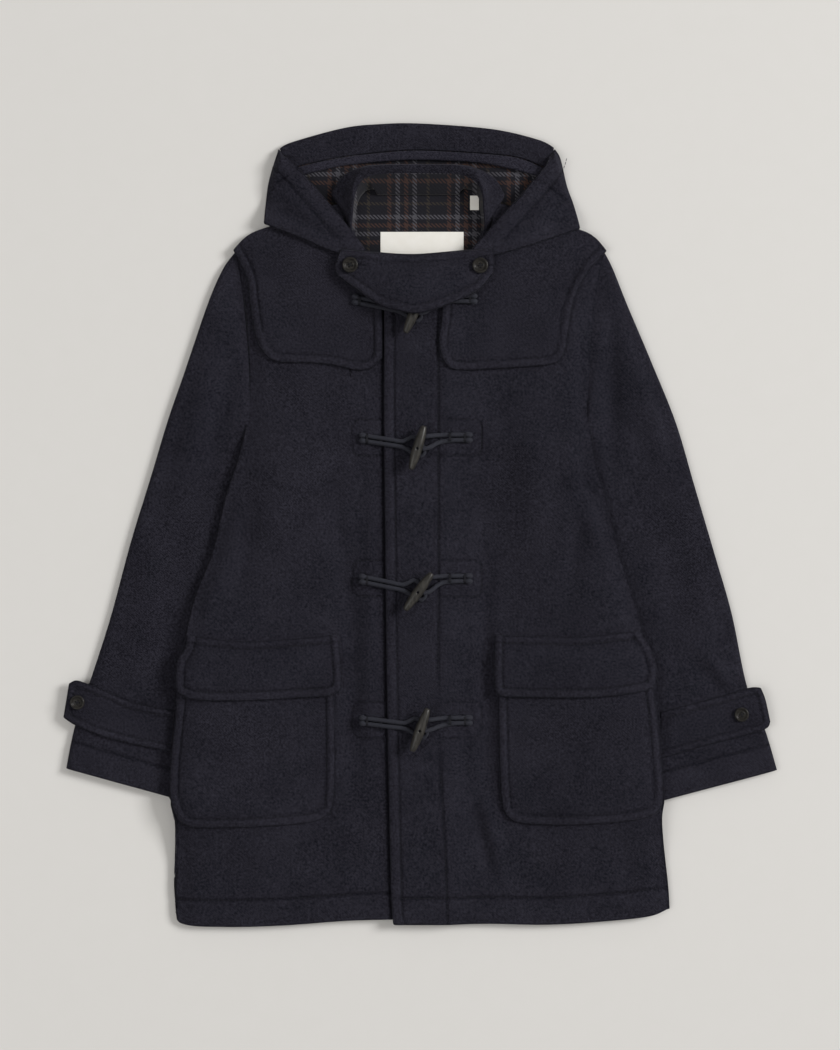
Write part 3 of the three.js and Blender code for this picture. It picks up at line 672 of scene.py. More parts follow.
FACING = 30
FRONT_CREASES = [  # from, to, reach, height
    (-87, -43, -84, -335, 13, -2.0), (-108, 60, -96, -60, 12, -1.2), (-262, -20, -262, -110, 20, 1.6),
    (-162, 160, -176, -90, 32, 2.2), (-206, 60, -222, -90, 13, -1.5), (-196, 120, -236, 10, 12, -1.2),
    (-60, 150, -62, -300, 9, 0.9), (80, -43, 83, -335, 11, -2.0), (64, -334, 86, -430, 9, -1.6),
    (78, -340, 104, -440, 10, 1.2), (140, 130, 150, -100, 28, 2.0), (208, 74, 184, -92, 12, -1.6),
    (200, 84, 236, -10, 9, -1.8), (184, 70, 222, -40, 10, 1.4),
    (60, 150, 58, -110, 12, 0.9), (204, 260, 200, 150, 9, -1.2), (-190, -380, -196, -470, 18, 1.3),
    (180, -385, 196, -470, 22, 1.4), (-240, -385, -246, -455, 12, -1.0), (248, -385, 258, -450, 12, -1.1),
]
SPREAD = 0.25  # the layers nearly touch where they are sewn or pressed


def front_under(x, y):
    loose = fade(inward(x, y), SIDE_ROLL, 0) * fade(under_shoulder(x, y), SIDE_ROLL, 0)
    soft = np.maximum(creased(x, y, FRONT_CREASES) + waver(x, y, 0.7, 1.1), -AIR)
    return back_top(x, y) + SPREAD + loose * (LAYER - SPREAD + AIR + soft)


def lap(x):
    return (CLOTH + 0.6) * fade(x, FACING, FACING + 30)


BOX_HALF, BOX_CORNER = 22.3, 10


def toggle_box(x0, x1, y, round_left):
    """The rounded box of stitches that holds a cord's ends."""
    turn = np.linspace(0, math.pi / 2, 7)
    arc = np.stack([1 - np.cos(turn), np.sin(turn) - 1], -1) * BOX_CORNER + (0, BOX_HALF)
    side = np.vstack([(x1 - x0, -BOX_HALF), (arc * (1, -1))[::-1], arc, (x1 - x0, BOX_HALF)])
    return side + (x0, y) if round_left else side * (-1, 1) + (x1, y)


TOGGLE_ROWS = (108, -66, -241)
RIGHT_BOXES = [toggle_box(-84, -46, y, True) for y in TOGGLE_ROWS]
LEFT_BOXES = [toggle_box(FACING - 6, 76, y, False) for y in TOGGLE_ROWS]

RIGHT_FRONT = Pattern(
    top=[*RIGHT_SHOULDER, (-92, 358), (-62, 325), (-20, 308), (FACING, 300)],
    bottom=[(-300, -474), (-296, -493), (-239, -497), (-169, -495), (-81, -489), (FACING, -487)],
    left=RIGHT_SIDE,
    right=[(FACING, 300), (FACING, -487)],
)
RIGHT_HEM = [(-303, -463), (-239, -464), (-169, -462), (-81, -456), (FACING, -454)]
right_hem = furrow(RIGHT_HEM, 1.8, 1.5)
# The furrow under the lap's edge is also painted dark through the shading attribute: a painted shadow
# under the lap.
under_lap = furrow([(-45.5, 303), (-45.5, 105), (-41.5, -242), (-36.5, -465), (-32.5, -494)], 1.4, 2.2)
right_furrows = [under_lap] + [furrow(box, 1.3, 1.1) for box in RIGHT_BOXES]


def right_relief(x, y):
    return right_hem(x, y) + sum(line(x, y) for line in right_furrows)


right_face = lay(
    "front_right", RIGHT_FRONT, ruled(330, 4, bands=((195, 300),)), BODY_DOWN, CLOTH,
    front_under, right_relief, rim=("left",),
)

LEFT_FRONT = Pattern(
    top=[(-44, 303), (-10, 312), (40, 322), (72, 338), (86, 362), *LEFT_SHOULDER],
    bottom=[(-31, -494), (33, -494), (86, -493), (163, -494), (240, -489), (287, -483), (309, -474)],
    left=[(-44, 303), (-44, 105), (-40, -242), (-35, -465), (-31, -494)],
    right=LEFT_SIDE,
)
FACING_SEAM = [(22.5, 300), (22.5, 0), (22.5, -254), (31, -403), (34, -492)]
left_edge = topstitched(LEFT_FRONT, ("left",), 12.5, 1.3, 1.6)
LEFT_HEM = [(-37, -461), (33, -461), (86, -460), (163, -461), (240, -455), (308, -448)]
left_hem = furrow(LEFT_HEM, 1.8, 1.5)
facing_furrow = furrow(FACING_SEAM, 1.7, 1.4)
left_furrows = [furrow(box, 1.3, 1.1) for box in LEFT_BOXES]


def left_relief(x, y):
    relief_and_shade = left_edge(x, y) + left_hem(x, y) + facing_furrow(x, y)
    return relief_and_shade + sum(line(x, y) for line in left_furrows)


def left_under(x, y):
    return front_under(x, y) + lap(x)


left_face = lay(
    "front_left", LEFT_FRONT, ruled(350, 4.4, first=20, bands=((62, 160),)), BODY_DOWN,
    CLOTH, left_under, left_relief, rim=("right",),
)


def front_top(x, y):
    """Height of the fronts' face, whichever of them is on top."""
    return front_under(x, y) + CLOTH + np.where(x > -44, lap(x), 0)


stitched("front_stitches", [
    (LEFT_FRONT.seam(("left",), 12.5), left_face),
    (FACING_SEAM, left_face),
    (LEFT_HEM, left_face),
    (RIGHT_HEM[:-1], right_face),
    *[(box, right_face) for box in RIGHT_BOXES],
    *[(box, left_face) for box in LEFT_BOXES],
    (RIGHT_SLEEVE.seam(("bottom",), CUFF_HEM), right_sleeve_top),
    (LEFT_SLEEVE.seam(("bottom",), CUFF_HEM), left_sleeve_top),
])

# ---- Yokes -----------------------------------------------
# A second layer of wool over each shoulder keeps the rain out. Its edge is turned in and
# topstitched, and it is cut round below into the curve that these coats have.

RIGHT_YOKE = Pattern(
    top=[(-231, 340), (-216, 356), (-196, 366), (-137, 384), (-95, 396), (-94, 358), (-64, 323),
         (-46.5, 315)],
    bottom=[(-199, 221), (-189, 208), (-174, 201), (-135, 200), (-106, 197), (-78, 191), (-59, 194),
            (-46.5, 207)],
    left=[(-231, 340), (-215, 306), (-211, 278), (-206, 243), (-199, 221)],
    right=[(-46.5, 315), (-46.5, 207)],
)
LEFT_YOKE = Pattern(
    top=[(27, 316), (44, 321), (74, 336), (88, 360), (94, 396), (137, 384), (196, 366), (216, 356),
         (231, 339)],
    bottom=[(27, 207), (36, 194), (54, 191), (79, 192), (131, 195), (162, 198), (175, 206), (182, 225)],
    left=[(27, 316), (27, 263), (23, 227), (27, 207)],
    right=[(231, 339), (208, 312), (191, 279), (184, 244), (182, 225)],
)


SEWN_SIDES = ("left", "bottom", "right")


def yoke_under(x, y):
    return front_top(x, y) + SPREAD


yoke_seams = []
for node, pattern, width in (("yoke_right", RIGHT_YOKE, 170), ("yoke_left", LEFT_YOKE, 180)):
    face = lay(
        node, pattern, ruled(width, 4, 16, 16), ruled(150, 4, 0, 18), LIGHT, yoke_under,
        topstitched(pattern, SEWN_SIDES), rim=SEWN_SIDES,
    )
    yoke_seams.append((pattern.seam(("left", "bottom"), EDGE_SEAM), face))
    yoke_seams += edge_rows(pattern, ("right",), EDGE_SEAM, face)
stitched("yoke_stitches", yoke_seams)

# ---- Pockets ---------------------------------------------
# Patch pockets with rounded bottom corners, sewn down on three sides. A flap is sewn on above each
# and covers its mouth. Edges are turned in and topstitched, and the sides stand a little proud.

FLAP_FULL, FLAP_NONE = -168, -152
FLAP_TOP_SEAM = 9.5
POCKET_BELLY = 2.0
POCKETS = {
    "pocket_right": Pattern(
        top=[(-295, -176), (-200, -180), (-106, -176)],
        bottom=[(-299, -362), (-283, -372), (-230, -373), (-161, -370), (-126, -365), (-110, -355)],
        left=[(-295, -176), (-301, -230), (-307, -291), (-308, -335), (-299, -362)],
        right=[(-106, -176), (-105, -274), (-106, -335), (-110, -355)],
    ),
    "pocket_left": Pattern(
        top=[(96, -176), (190, -180), (284, -176)],
        bottom=[(107, -359), (124, -368), (184, -370), (253, -365), (286, -358), (296, -350)],
        left=[(96, -176), (98, -291), (101, -343), (107, -359)],
        right=[(284, -176), (292, -231), (297, -291), (300, -333), (296, -350)],
    ),
}
FLAPS = {
    "flap_right": Pattern(
        top=[(-286, -136), (-221, -143), (-165, -141), (-101, -135)],
        bottom=[(-297, -208), (-274, -215), (-213, -216), (-143, -213), (-109, -210), (-97, -202)],
        left=[(-286, -136), (-290, -152), (-299, -168), (-301, -196), (-297, -208)],
        right=[(-101, -135), (-98, -165), (-96, -187), (-97, -202)],
    ),
    "flap_left": Pattern(
        top=[(92, -136), (184, -138), (236, -134), (270, -130)],
        bottom=[(93, -206), (105, -212), (158, -213), (219, -212), (271, -205), (288, -199)],
        left=[(92, -136), (91, -187), (93, -206)],
        right=[(270, -130), (284, -152), (292, -180), (288, -199)],
    ),
}
pocket_seams = []
for node, pattern in POCKETS.items():
    middle = np.mean(pattern.rim["bottom"][:, 0])

    def pocket_under(x, y, middle=middle):
        belly = POCKET_BELLY * np.exp(-(((x - middle) / 62) ** 2) - ((y + 285) / 60) ** 2)
        return front_top(x, y) + SPREAD + belly + waver(x, y, 0.4, middle)

    face = lay(
        node, pattern, ruled(200, 5, 16, 16), ruled(195, 5, 0, 16), LIGHT, pocket_under,
        topstitched(pattern, SEWN_SIDES), rim=SEWN_SIDES,
    )
    pocket_seams += edge_rows(pattern, SEWN_SIDES, EDGE_SEAM, face)
for node, pattern in FLAPS.items():
    def flap_under(x, y):
        over_pocket = (LIGHT + 1.6) * fade(y, FLAP_FULL, FLAP_NONE)
        return front_top(x, y) + SPREAD + over_pocket + waver(x, y, 0.35, 5)

    edge_roll = topstitched(pattern, SEWN_SIDES)
    top_roll = topstitched(pattern, ("top",), FLAP_TOP_SEAM, 1.4, 1.2)

    def flap_relief(x, y, edge_roll=edge_roll, top_roll=top_roll):
        return edge_roll(x, y) + top_roll(x, y)

    face = lay(
        node, pattern, ruled(200, 5, 16, 16), ruled(76, 4, 14, 16), LIGHT, flap_under,
        flap_relief, rim=EDGES,
    )
    pocket_seams += edge_rows(pattern, SEWN_SIDES, EDGE_SEAM, face)
    pocket_seams += edge_rows(pattern, ("top",), FLAP_TOP_SEAM, face)
stitched("pocket_stitches", pocket_seams)

# ---- Cuff straps -----------------------------------------
# A pointed strap of the light wool crosses each sleeve above the cuff. It starts in the inner seam
# and its turned and stitched point is held by one button.

STRAPS = {
    "strap_right": (417, Pattern(
        top=[(-434, -196), (-425, -192), (-411, -196), (-376, -210), (-355, -219), (-302, -230)],
        bottom=[(-441, -238), (-427, -247), (-398, -259), (-363, -269), (-305, -281)],
        left=[(-434, -196), (-441, -238)],
        right=[(-302, -230), (-305, -281)],
    )),
    "strap_left": (420, Pattern(
        top=[(297, -231), (335, -221), (377, -210), (407, -201), (421, -201)],
        bottom=[(297, -289), (355, -272), (395, -262), (427, -252), (433, -243)],
        left=[(297, -231), (297, -289)],
        right=[(421, -201), (427, -216), (433, -243)],
    )),
}
STRAP_SEAM = 8.5
strap_seams = []
for node, (sleeve_edge, pattern) in STRAPS.items():
    sides = ("top", "bottom", "left" if node == "strap_right" else "right")

    def strap_under(x, y, sleeve_edge=sleeve_edge):
        droop = 3 * fade(np.abs(x), sleeve_edge + 26, sleeve_edge)
        tucked = 2.6 * fade(np.abs(x), 299, 314)
        return 2 * SLEEVE_LOFT + 0.6 - droop - tucked + waver(x, y, 0.3, 3)

    face = lay(
        node, pattern, ruled(130, 4, 16, 16), ruled(55, 3, 16, 16), LIGHT, strap_under,
        topstitched(pattern, sides, STRAP_SEAM, 1.2, 1.1), rim=sides,
    )
    strap_seams += edge_rows(pattern, sides, STRAP_SEAM, face)
stitched("strap_stitches", strap_seams)

# ---- Hood ------------------------------------------------
# The hood is spread above the neck: its crown lies on the table with the plaid face up, its face
# edges fold down over the crown from both sides, and a bound facing runs along the crown's top.

HOOD_WALL = 4.4
HOOD_LOW = CLOTH + LAYER
HOOD_EDGE_RISE = 7
HOOD_FACING = 22

CROWN = Pattern(
    top=[(-173, 463), (-156, 471), (-95, 488), (-53, 493), (0, 494), (88, 487), (144, 474), (165, 464)],
    bottom=[(-187, 373), (-137, 383), (-100, 393), (-62, 403), (-30, 406), (26, 406), (60, 403),
            (100, 393), (137, 383), (192, 370)],
    left=[(-173, 463), (-184, 422), (-187, 373)],
    right=[(165, 464), (171, 453), (178, 420), (185, 397), (192, 370)],
)
lay(
    "hood_crown", CROWN, ruled(385, 7), ruled(90, 6), CLOTH - 0.2, lambda x, y: 0 * x,
    finishes=[coat_wool, plaid_face],
)

TOP_FACING = Pattern(
    top=[(-174, 466), (-158, 474), (-96, 491), (-53, 496), (0, 497), (89, 490), (146, 477), (166, 467)],
    bottom=[(-160, 439), (-148, 445), (-95, 456), (-26, 463.5), (24, 463.5), (111, 457), (149, 445),
            (161, 439)],
    left=[(-174, 466), (-160, 439)],
    right=[(166, 467), (161, 439)],
)
lay(
    "hood_facing", TOP_FACING, ruled(330, 5), ruled(32, 2.5), CLOTH,
    lambda x, y: CLOTH + 0.6 + waver(x, y, 0.5, 2)
    + 2.4 * np.exp(-(((TOP_FACING.from_edge(x, y, ("top",)) - 15) / 11) ** 2)),
)

# The binding is the coat's wool painted 1.4 times lighter: a painted highlight on its folded edge.
binding_wool_painted_highlight = wool_finish("binding_wool_painted_highlight", 1.4)
BINDING = Pattern(
    top=[(-158, 440), (-147, 444), (-95, 455), (-26, 462.5), (24, 462.5), (111, 456), (148, 444),
         (159, 439)],
    bottom=[(-152, 430), (-140, 434), (-95, 444.5), (-26, 451), (24, 451), (84, 446.5), (141, 433),
            (153, 428)],
    left=[(-158, 440), (-152, 430)],
    right=[(159, 439), (153, 428)],
)
lay(
    "hood_binding", BINDING, ruled(300, 4), ruled(11, 1.5), 4.6,
    lambda x, y: CLOTH + 0.6 + 0 * x, finishes=[binding_wool_painted_highlight, binding_wool_painted_highlight],
)


def over_yokes(x, y):
    """Height of the yokes' face, or of the fronts' face between them."""
    on_yoke = (x < -44) | (x > 22)
    return front_top(x, y) + np.where(on_yoke, SPREAD + LIGHT, 0)


def hood_under(x, y, face_edge):
    over_yoke = fade(-under_shoulder(x, y), 4, 36)
    low = HOOD_LOW + (over_yokes(x, y) + 0.8 - HOOD_LOW) * over_yoke
    free = fade(face_edge(x, y), 6, 60) * fade(y, 378, 346)
    return low + HOOD_EDGE_RISE * free


RIGHT_HOOD = Pattern(
    top=[(-175, 465), (-168, 459)],
    bottom=[(-193, 372), (-146, 353), (-109, 337), (-92, 333), (-66, 337)],
    left=[(-175, 465), (-188, 422), (-193, 372)],
    right=[(-168, 459), (-150, 441), (-112, 397), (-76, 352), (-66, 337)],
)
LEFT_HOOD = Pattern(
    top=[(160, 459), (167, 465)],
    bottom=[(62, 337), (86, 332), (103, 335), (146, 348), (198, 366)],
    left=[(160, 459), (152, 441), (110, 392), (72, 350), (62, 337)],
    right=[(167, 465), (174, 453), (182, 420), (190, 397), (198, 366)],
)
hood_seams = []
for node, pattern, face_side, panel_seam, creases in (
    ("hood_side_right", RIGHT_HOOD, "right", [(-150, 440), (-163, 431), (-177, 423)],
     [(-176, 420, -120, 362, 14, 1.6), (-160, 380, -110, 356, 9, -1.0)]),
    ("hood_side_left", LEFT_HOOD, "left", [(141, 428), (160, 417), (181, 402)],
     [(150, 396, 116, 362, 8, -1.3), (170, 400, 130, 362, 15, 1.6)]),
):
    def face_edge(x, y, pattern=pattern, face_side=face_side):
        return pattern.from_edge(x, y, (face_side,))

    outer_side = "left" if face_side == "right" else "right"

    def side_under(x, y, face_edge=face_edge, creases=creases, pattern=pattern, outer_side=outer_side):
        up = hood_under(x, y, face_edge) + creased(x, y, creases)
        folded = fade(pattern.from_edge(x, y, (outer_side, "top")), 0, 8) * fade(y, 412, 386)
        return up - 0.8 * (up - 0.4) * folded

    roll = topstitched(pattern, (face_side,), HOOD_FACING, 1.8, 1.8)
    panel = furrow(panel_seam, 2, 1.8)

    def side_relief(x, y, pattern=pattern, roll=roll, panel=panel):
        neck_roll = 1.6 * np.exp(-(((pattern.from_edge(x, y, ("bottom",)) - 8) / 8) ** 2))
        return roll(x, y) + panel(x, y) + neck_roll

    face = lay(
        node, pattern, ruled(70, 2.6), ruled(130, 2.6), HOOD_WALL, side_under, side_relief,
        rim=("bottom", face_side),
    )
    hood_seams += edge_rows(pattern, (face_side,), HOOD_FACING, face)
stitched("hood_stitches", hood_seams)

STAND_RIDGE = [  # place on the ridge, reach to the neck side, reach outwards, height
    (-82, 350, 4, 4, 8), (-85, 366, 4, 6, 12), (-84, 380, 4, 9, 15), (-83, 392, 4, 17, 18),
    (-82, 407, 8, 28, 21), (-79, 422, 18, 20, 23), (-70, 434, 29, 8, 25), (-52, 440, 32, 4, 26),
    (-20, 441.5, 33, 3, 27), (18, 441.5, 33, 3, 27), (48, 440, 32, 4, 26), (66, 433, 29, 8, 25),
    (75, 420, 13, 20, 23), (78, 405, 5, 27, 21), (78.5, 391, 4, 16, 18), (80, 378, 4, 9, 15),
    (80, 366, 4, 6, 12), (76, 350, 4, 4, 8),
]
STAND_PROFILE = [  # share across, from the neck side to the outside, and share of the height
    (1.0, 0.02), (0.97, 0.12), (0.8, 0.3), (0.6, 0.47), (0.4, 0.68), (0.22, 0.86), (0.08, 0.97),
    (-0.15, 1.0), (-0.5, 0.93), (-0.85, 0.72), (-1.0, 0.4), (-1.0, 0.04),
]
STAND_BASE = CLOTH + LAYER
STAND_CLOTH = 2.4
STAND_SAG = 0.64  # share of its height that the outer side loses where it is spread out
STAND_PLAID, PLAID_OVER = 0.9, -0.28  # where the plaid ends, along the stand and up its neck side
stand = bmesh.new()
ALONG, ACROSS = 110, 34
bmesh.ops.create_grid(stand, x_segments=ALONG, y_segments=ACROSS, size=1)
spots = np.array([vert.co for vert in stand.verts])
ridge = curve([row[:2] for row in STAND_RIDGE])
share = (spots[:, 0] + 1) / 2
rows = np.array(STAND_RIDGE, float)
row_share = np.r_[0, np.cumsum(np.linalg.norm(np.diff(rows[:, :2], axis=0), axis=1))]
row_share /= row_share[-1]
inner, outer, height = (np.interp(share, row_share, rows[:, k]) for k in (2, 3, 4))
profile = curve(STAND_PROFILE)((spots[:, 1] + 1) / 2)
for face in stand.faces:
    along, over = face.calc_center_median().xy
    face.material_index = int(abs(along) < STAND_PLAID and over < PLAID_OVER)
middle = ridge(share)
ahead = ridge(np.clip(share + 0.01, 0, 1)) - ridge(np.clip(share - 0.01, 0, 1))
ahead /= np.linalg.norm(ahead, axis=1)[:, None]
to_neck = np.stack([ahead[:, 1], -ahead[:, 0]], -1)
reach = np.where(profile[:, 0] > 0, profile[:, 0] * inner, profile[:, 0] * outer)
place = middle + to_neck * reach[:, None]
spread_out = np.clip((outer - 8) / 20, 0, 1) * np.clip(-2.4 * profile[:, 0] - 0.1, 0, 1)
rise = profile[:, 1] * (1 - STAND_SAG * spread_out)
up = STAND_BASE + rise * height + waver(*place.T, 0.5, 4) * profile[:, 1]
fold = furrow([(-50, 413), (0, 412), (48, 413)], 2, 0.6)(*place.T) * (profile[:, 0] > 0.3)
for vert, (x, y), z in zip(stand.verts, place, up + fold):
    vert.co = (x, y, z)
outwards(stand, STAND_BASE)
bmesh.ops.solidify(stand, geom=stand.faces[:], thickness=STAND_CLOTH)
stand_piece = finished("hood_stand_cloth", stand, coat_wool, plaid_face)
placed(stand_piece, "hood_stand")

# ---- Labels ----------------------------------------------
# Two plain labels of cream satin, with nothing on them: a wide one inside the neck, sewn down at
# its ends, and a small folded one under the stand.

label_satin = Finish(
    "label_satin", Roughness=0.42, Specular_IOR_Level=0.4, Sheen_Weight=0.25, Sheen_Roughness=0.3,
)
weave = label_satin.node(
    "ShaderNodeTexWave", {"bands_direction": "Y"}, Vector=label_satin.place(), Scale=600, Distortion=1.5,
)
ends = label_satin.noise(90, 2)
label_satin.feed(Base_Color=label_satin.mix(ends, (0.86, 0.83, 0.76, 1), (0.93, 0.91, 0.86, 1)))
label_satin.bump(weave, 0.25, 0.0002)

LABEL_CLOTH = 0.6
for node, left, right, low, high in (
    ("neck_label", -49, 54, 329, 363), ("size_label", 62, 73, 390, 408),
):
    pattern = Pattern(
        top=[(left, high), (right, high)], bottom=[(left, low), (right, low)],
        left=[(left, high), (left, low)], right=[(right, high), (right, low)],
    )
    lay(
        node, pattern, ruled(right - left, 3), ruled(high - low, 2), LABEL_CLOTH,
        lambda x, y: back_top(x, y) + 0.5 + 0.4 * np.sin(x / 17 + 0.6),
        finishes=[label_satin, label_satin],
    )

# ---- Throat tab ------------------------------------------
# A doubled tab buttons across the throat, over the top toggle. It is rounded below, its edge is
# turned in and topstitched, and it arches a little over the toggle.

TAB = Pattern(
    top=[(-99, 338), (-91, 340), (-48, 336), (-6, 334), (44, 338), (87, 341)],
    bottom=[(-103, 308), (-81, 291), (-48, 269), (-24, 262), (-6, 259), (15, 263), (44, 274), (72, 288),
            (88, 306)],
    left=[(-99, 338), (-105, 318), (-103, 308)],
    right=[(87, 341), (91, 333), (91, 313), (88, 306)],
)
TAB_THICK = 4.0
TAB_REST = 2 * CLOTH + AIR + LIGHT + 3 * LAYER
TAB_LIFT = 19.4


def tab_under(x, y):
    arch = TAB_LIFT * np.exp(-(((x - 2) / 72) ** 2)) * fade(y, 296, 342)
    return TAB_REST + arch + 3.4 * fade(y, 334, 312) * fade(np.abs(x), 62, 40)


buttonhole = furrow([(-83, 320), (-66, 320)], 1.3, 1.2)
other_hole = furrow([(77, 319), (93, 319)], 1.3, 1.2)
tab_edge = topstitched(TAB, EDGES, EDGE_SEAM, 1.3, 1.2)
tab_face = lay(
    "throat_tab", TAB, ruled(190, 2.6), ruled(78, 2.2), TAB_THICK, tab_under,
    lambda x, y: tab_edge(x, y) + buttonhole(x, y) + other_hole(x, y), rim=EDGES,
)
stitched("tab_stitches", edge_rows(TAB, ("top", "bottom"), EDGE_SEAM, tab_face))

# ---- Buttons ---------------------------------------------
# Four turned buttons of dark horn: a raised rim round a dished face, four holes, and a crossed
# thread. Two hold the throat tab and one holds each cuff strap.

button_horn = Finish(
    "button_horn", Roughness=0.32, Specular_IOR_Level=0.16, Coat_Weight=0.06, Coat_Roughness=0.1,
)
streaks = button_horn.noise(140, 4, 0.6, button_horn.node(
    "ShaderNodeMapping", {}, button_horn.place(), Scale=(1, 3.2, 1), Rotation=(0, 0, 0.5),
))
button_horn.feed(Base_Color=button_horn.mix(
    (streaks * 2.2 - 0.6).clipped(), (0.005, 0.0048, 0.0048, 1), (0.031, 0.028, 0.0245, 1),
))
button_horn.bump(streaks, 0.12, 0.0002)
BUTTON_PROFILE = [  # shares of the radius and of the thickness
    (0, 0), (0.8, 0), (0.93, 0.1), (1.0, 0.4), (1.0, 0.68), (0.95, 0.9), (0.87, 1.0), (0.78, 0.95),
    (0.7, 0.62), (0.62, 0.36), (0.55, 0.34), (0.46, 0.52), (0.3, 0.56), (0, 0.54),
]


def spun(profile, steps):
    """A closed turned shape about Z, from its half outline."""
    shape = bmesh.new()
    verts = [shape.verts.new((r, 0, z)) for r, z in profile]
    edges = [shape.edges.new(pair) for pair in zip(verts, verts[1:])]
    bmesh.ops.spin(
        shape, geom=verts + edges, cent=(0, 0, 0), axis=(0, 0, 1), angle=math.tau, steps=steps,
        use_merge=True, use_duplicate=False,
    )
    bmesh.ops.remove_doubles(shape, verts=shape.verts, dist=1e-4)
    bmesh.ops.recalc_face_normals(shape, faces=shape.faces)
    return shape


def drilled(shape, drills):
    """The same shape with holes cut right through it."""
    parts = []
    for name, made in (("blank", shape), ("drills", drills)):
        mesh = bpy.data.meshes.new(name)
        made.to_mesh(mesh)
        made.free()
        parts.append(bpy.data.objects.new(name, mesh))
        scene.collection.objects.link(parts[-1])
    blank, cutters = parts
    hole = blank.modifiers.new("holes", "BOOLEAN")
    hole.operation = "DIFFERENCE"
    hole.solver = "EXACT"
    hole.object = cutters
    result = bmesh.new()
    result.from_object(blank, bpy.context.evaluated_depsgraph_get())
    for part in parts:
        bpy.data.objects.remove(part)
    return result


BUTTON_THICK, HOLE_RING, HOLE_RADIUS = 0.36, 0.27, 0.115  # shares of the radius


def button(node, x, y, z, radius, turn):
    thick = BUTTON_THICK * radius
    disc = spun([(r * radius, h * thick) for r, h in BUTTON_PROFILE], 40)
    drills = bmesh.new()
    for quarter in range(4):
        angle = math.pi / 4 + quarter * math.pi / 2
        ring, hole = HOLE_RING * radius, HOLE_RADIUS * radius
        bmesh.ops.create_cone(
            drills, cap_ends=True, segments=12, radius1=hole, radius2=hole, depth=4 * thick,
            matrix=Matrix.Translation((ring * math.cos(angle), ring * math.sin(angle), 0)),
        )
    shape = drilled(disc, drills)
    bmesh.ops.rotate(shape, verts=shape.verts, cent=(0, 0, 0), matrix=Matrix.Rotation(turn, 3, "Z"))
    bmesh.ops.translate(shape, verts=shape.verts, vec=(x, y, z))
    piece = finished(node + "_disc", shape, button_horn)
    for polygon in piece.data.polygons:
        polygon.use_smooth = abs(polygon.normal.z) > 0.05
    placed(piece, node)
    cross = bmesh.new()
    for quarter in range(2):
        angle = math.pi / 4 + quarter * math.pi / 2 + turn
        at = Matrix.Translation((x, y, z + 0.56 * thick)) @ Matrix.Rotation(angle, 4, "Z")
        bmesh.ops.create_cube(cross, size=1, matrix=at @ Matrix.Diagonal((0.6 * radius, 0.9, 0.8, 1)))
    bmesh.ops.bevel(
        cross, geom=cross.edges[:], offset=0.2, segments=2, profile=0.5, affect="EDGES", material=-1,
    )
    placed(finished(node + "_thread", cross, thread))


def tab_button_height(x, y):
    return float(tab_face(np.array([x]), np.array([y]))[0]) + 0.7


button("tab_button_right", -86, 320, tab_button_height(-78, 312), 9.6, 0.3)
button("tab_button_left", 74, 319, tab_button_height(66, 311), 9.6, 0.9)
button("cuff_button_right", -423, -219, 2 * SLEEVE_LOFT + LIGHT + 0.8, 8.8, 0.5)
button("cuff_button_left", 397, -234, 2 * SLEEVE_LOFT + LIGHT + 1.2, 8.8, 1.1)

# ---- Toggles and their cords -----------------------------
# Four toggles of horn, bored through the middle, each held by a doubled cord on the left front and
# caught in a loop of the same cord on the right front. The cords' ends are knobbed and bar tacked.

ROPE = 2.6
ROPE_TWIST = 9.0
ROPE_STEP = 1.1
STRANDS = 3
TOGGLE_LENGTH = 56
TOGGLE_RADIUS = 6.3
BORE_RADIUS = 1.6
STRAND_GAP = 3.3

toggle_horn = Finish(
    "toggle_horn", Roughness=0.38, Specular_IOR_Level=0.28, Coat_Weight=0.05, Coat_Roughness=0.2,
)
grain = toggle_horn.noise(60, 5, 0.65, toggle_horn.node(
    "ShaderNodeMapping", {}, toggle_horn.place(), Scale=(5, 1, 5), Rotation=(0, 0, 0.4),
))
toggle_horn.feed(Base_Color=toggle_horn.mix(
    (grain * 2.4 - 0.75).clipped(), (0.010, 0.0095, 0.0092, 1), (0.05, 0.046, 0.040, 1),
))
toggle_horn.bump(grain, 0.25, 0.0004)

cord_yarn = Finish(
    "cord_yarn", Roughness=0.8, Specular_IOR_Level=0.2, Sheen_Weight=0.12, Sheen_Roughness=0.4,
    Sheen_Tint=(0.6, 0.62, 0.72, 1),
)
yarn = cord_yarn.noise(900, 3, 0.6)
cord_yarn.feed(Base_Color=cord_yarn.mix(yarn, (0.010, 0.0105, 0.015, 1), (0.034, 0.035, 0.047, 1)))
cord_yarn.bump(yarn, 0.5, 0.0004)

TOGGLE_PROFILE = [  # shares of the radius and of half the length, from end to end
    (0, -1.0), (0.3, -1.0), (0.46, -0.985), (0.56, -0.94), (0.68, -0.82), (0.82, -0.62), (0.93, -0.4),
    (0.99, -0.2), (1.0, 0), (0.99, 0.2), (0.93, 0.4), (0.82, 0.62), (0.68, 0.82), (0.56, 0.94),
    (0.46, 0.985), (0.3, 1.0), (0, 1.0),
]


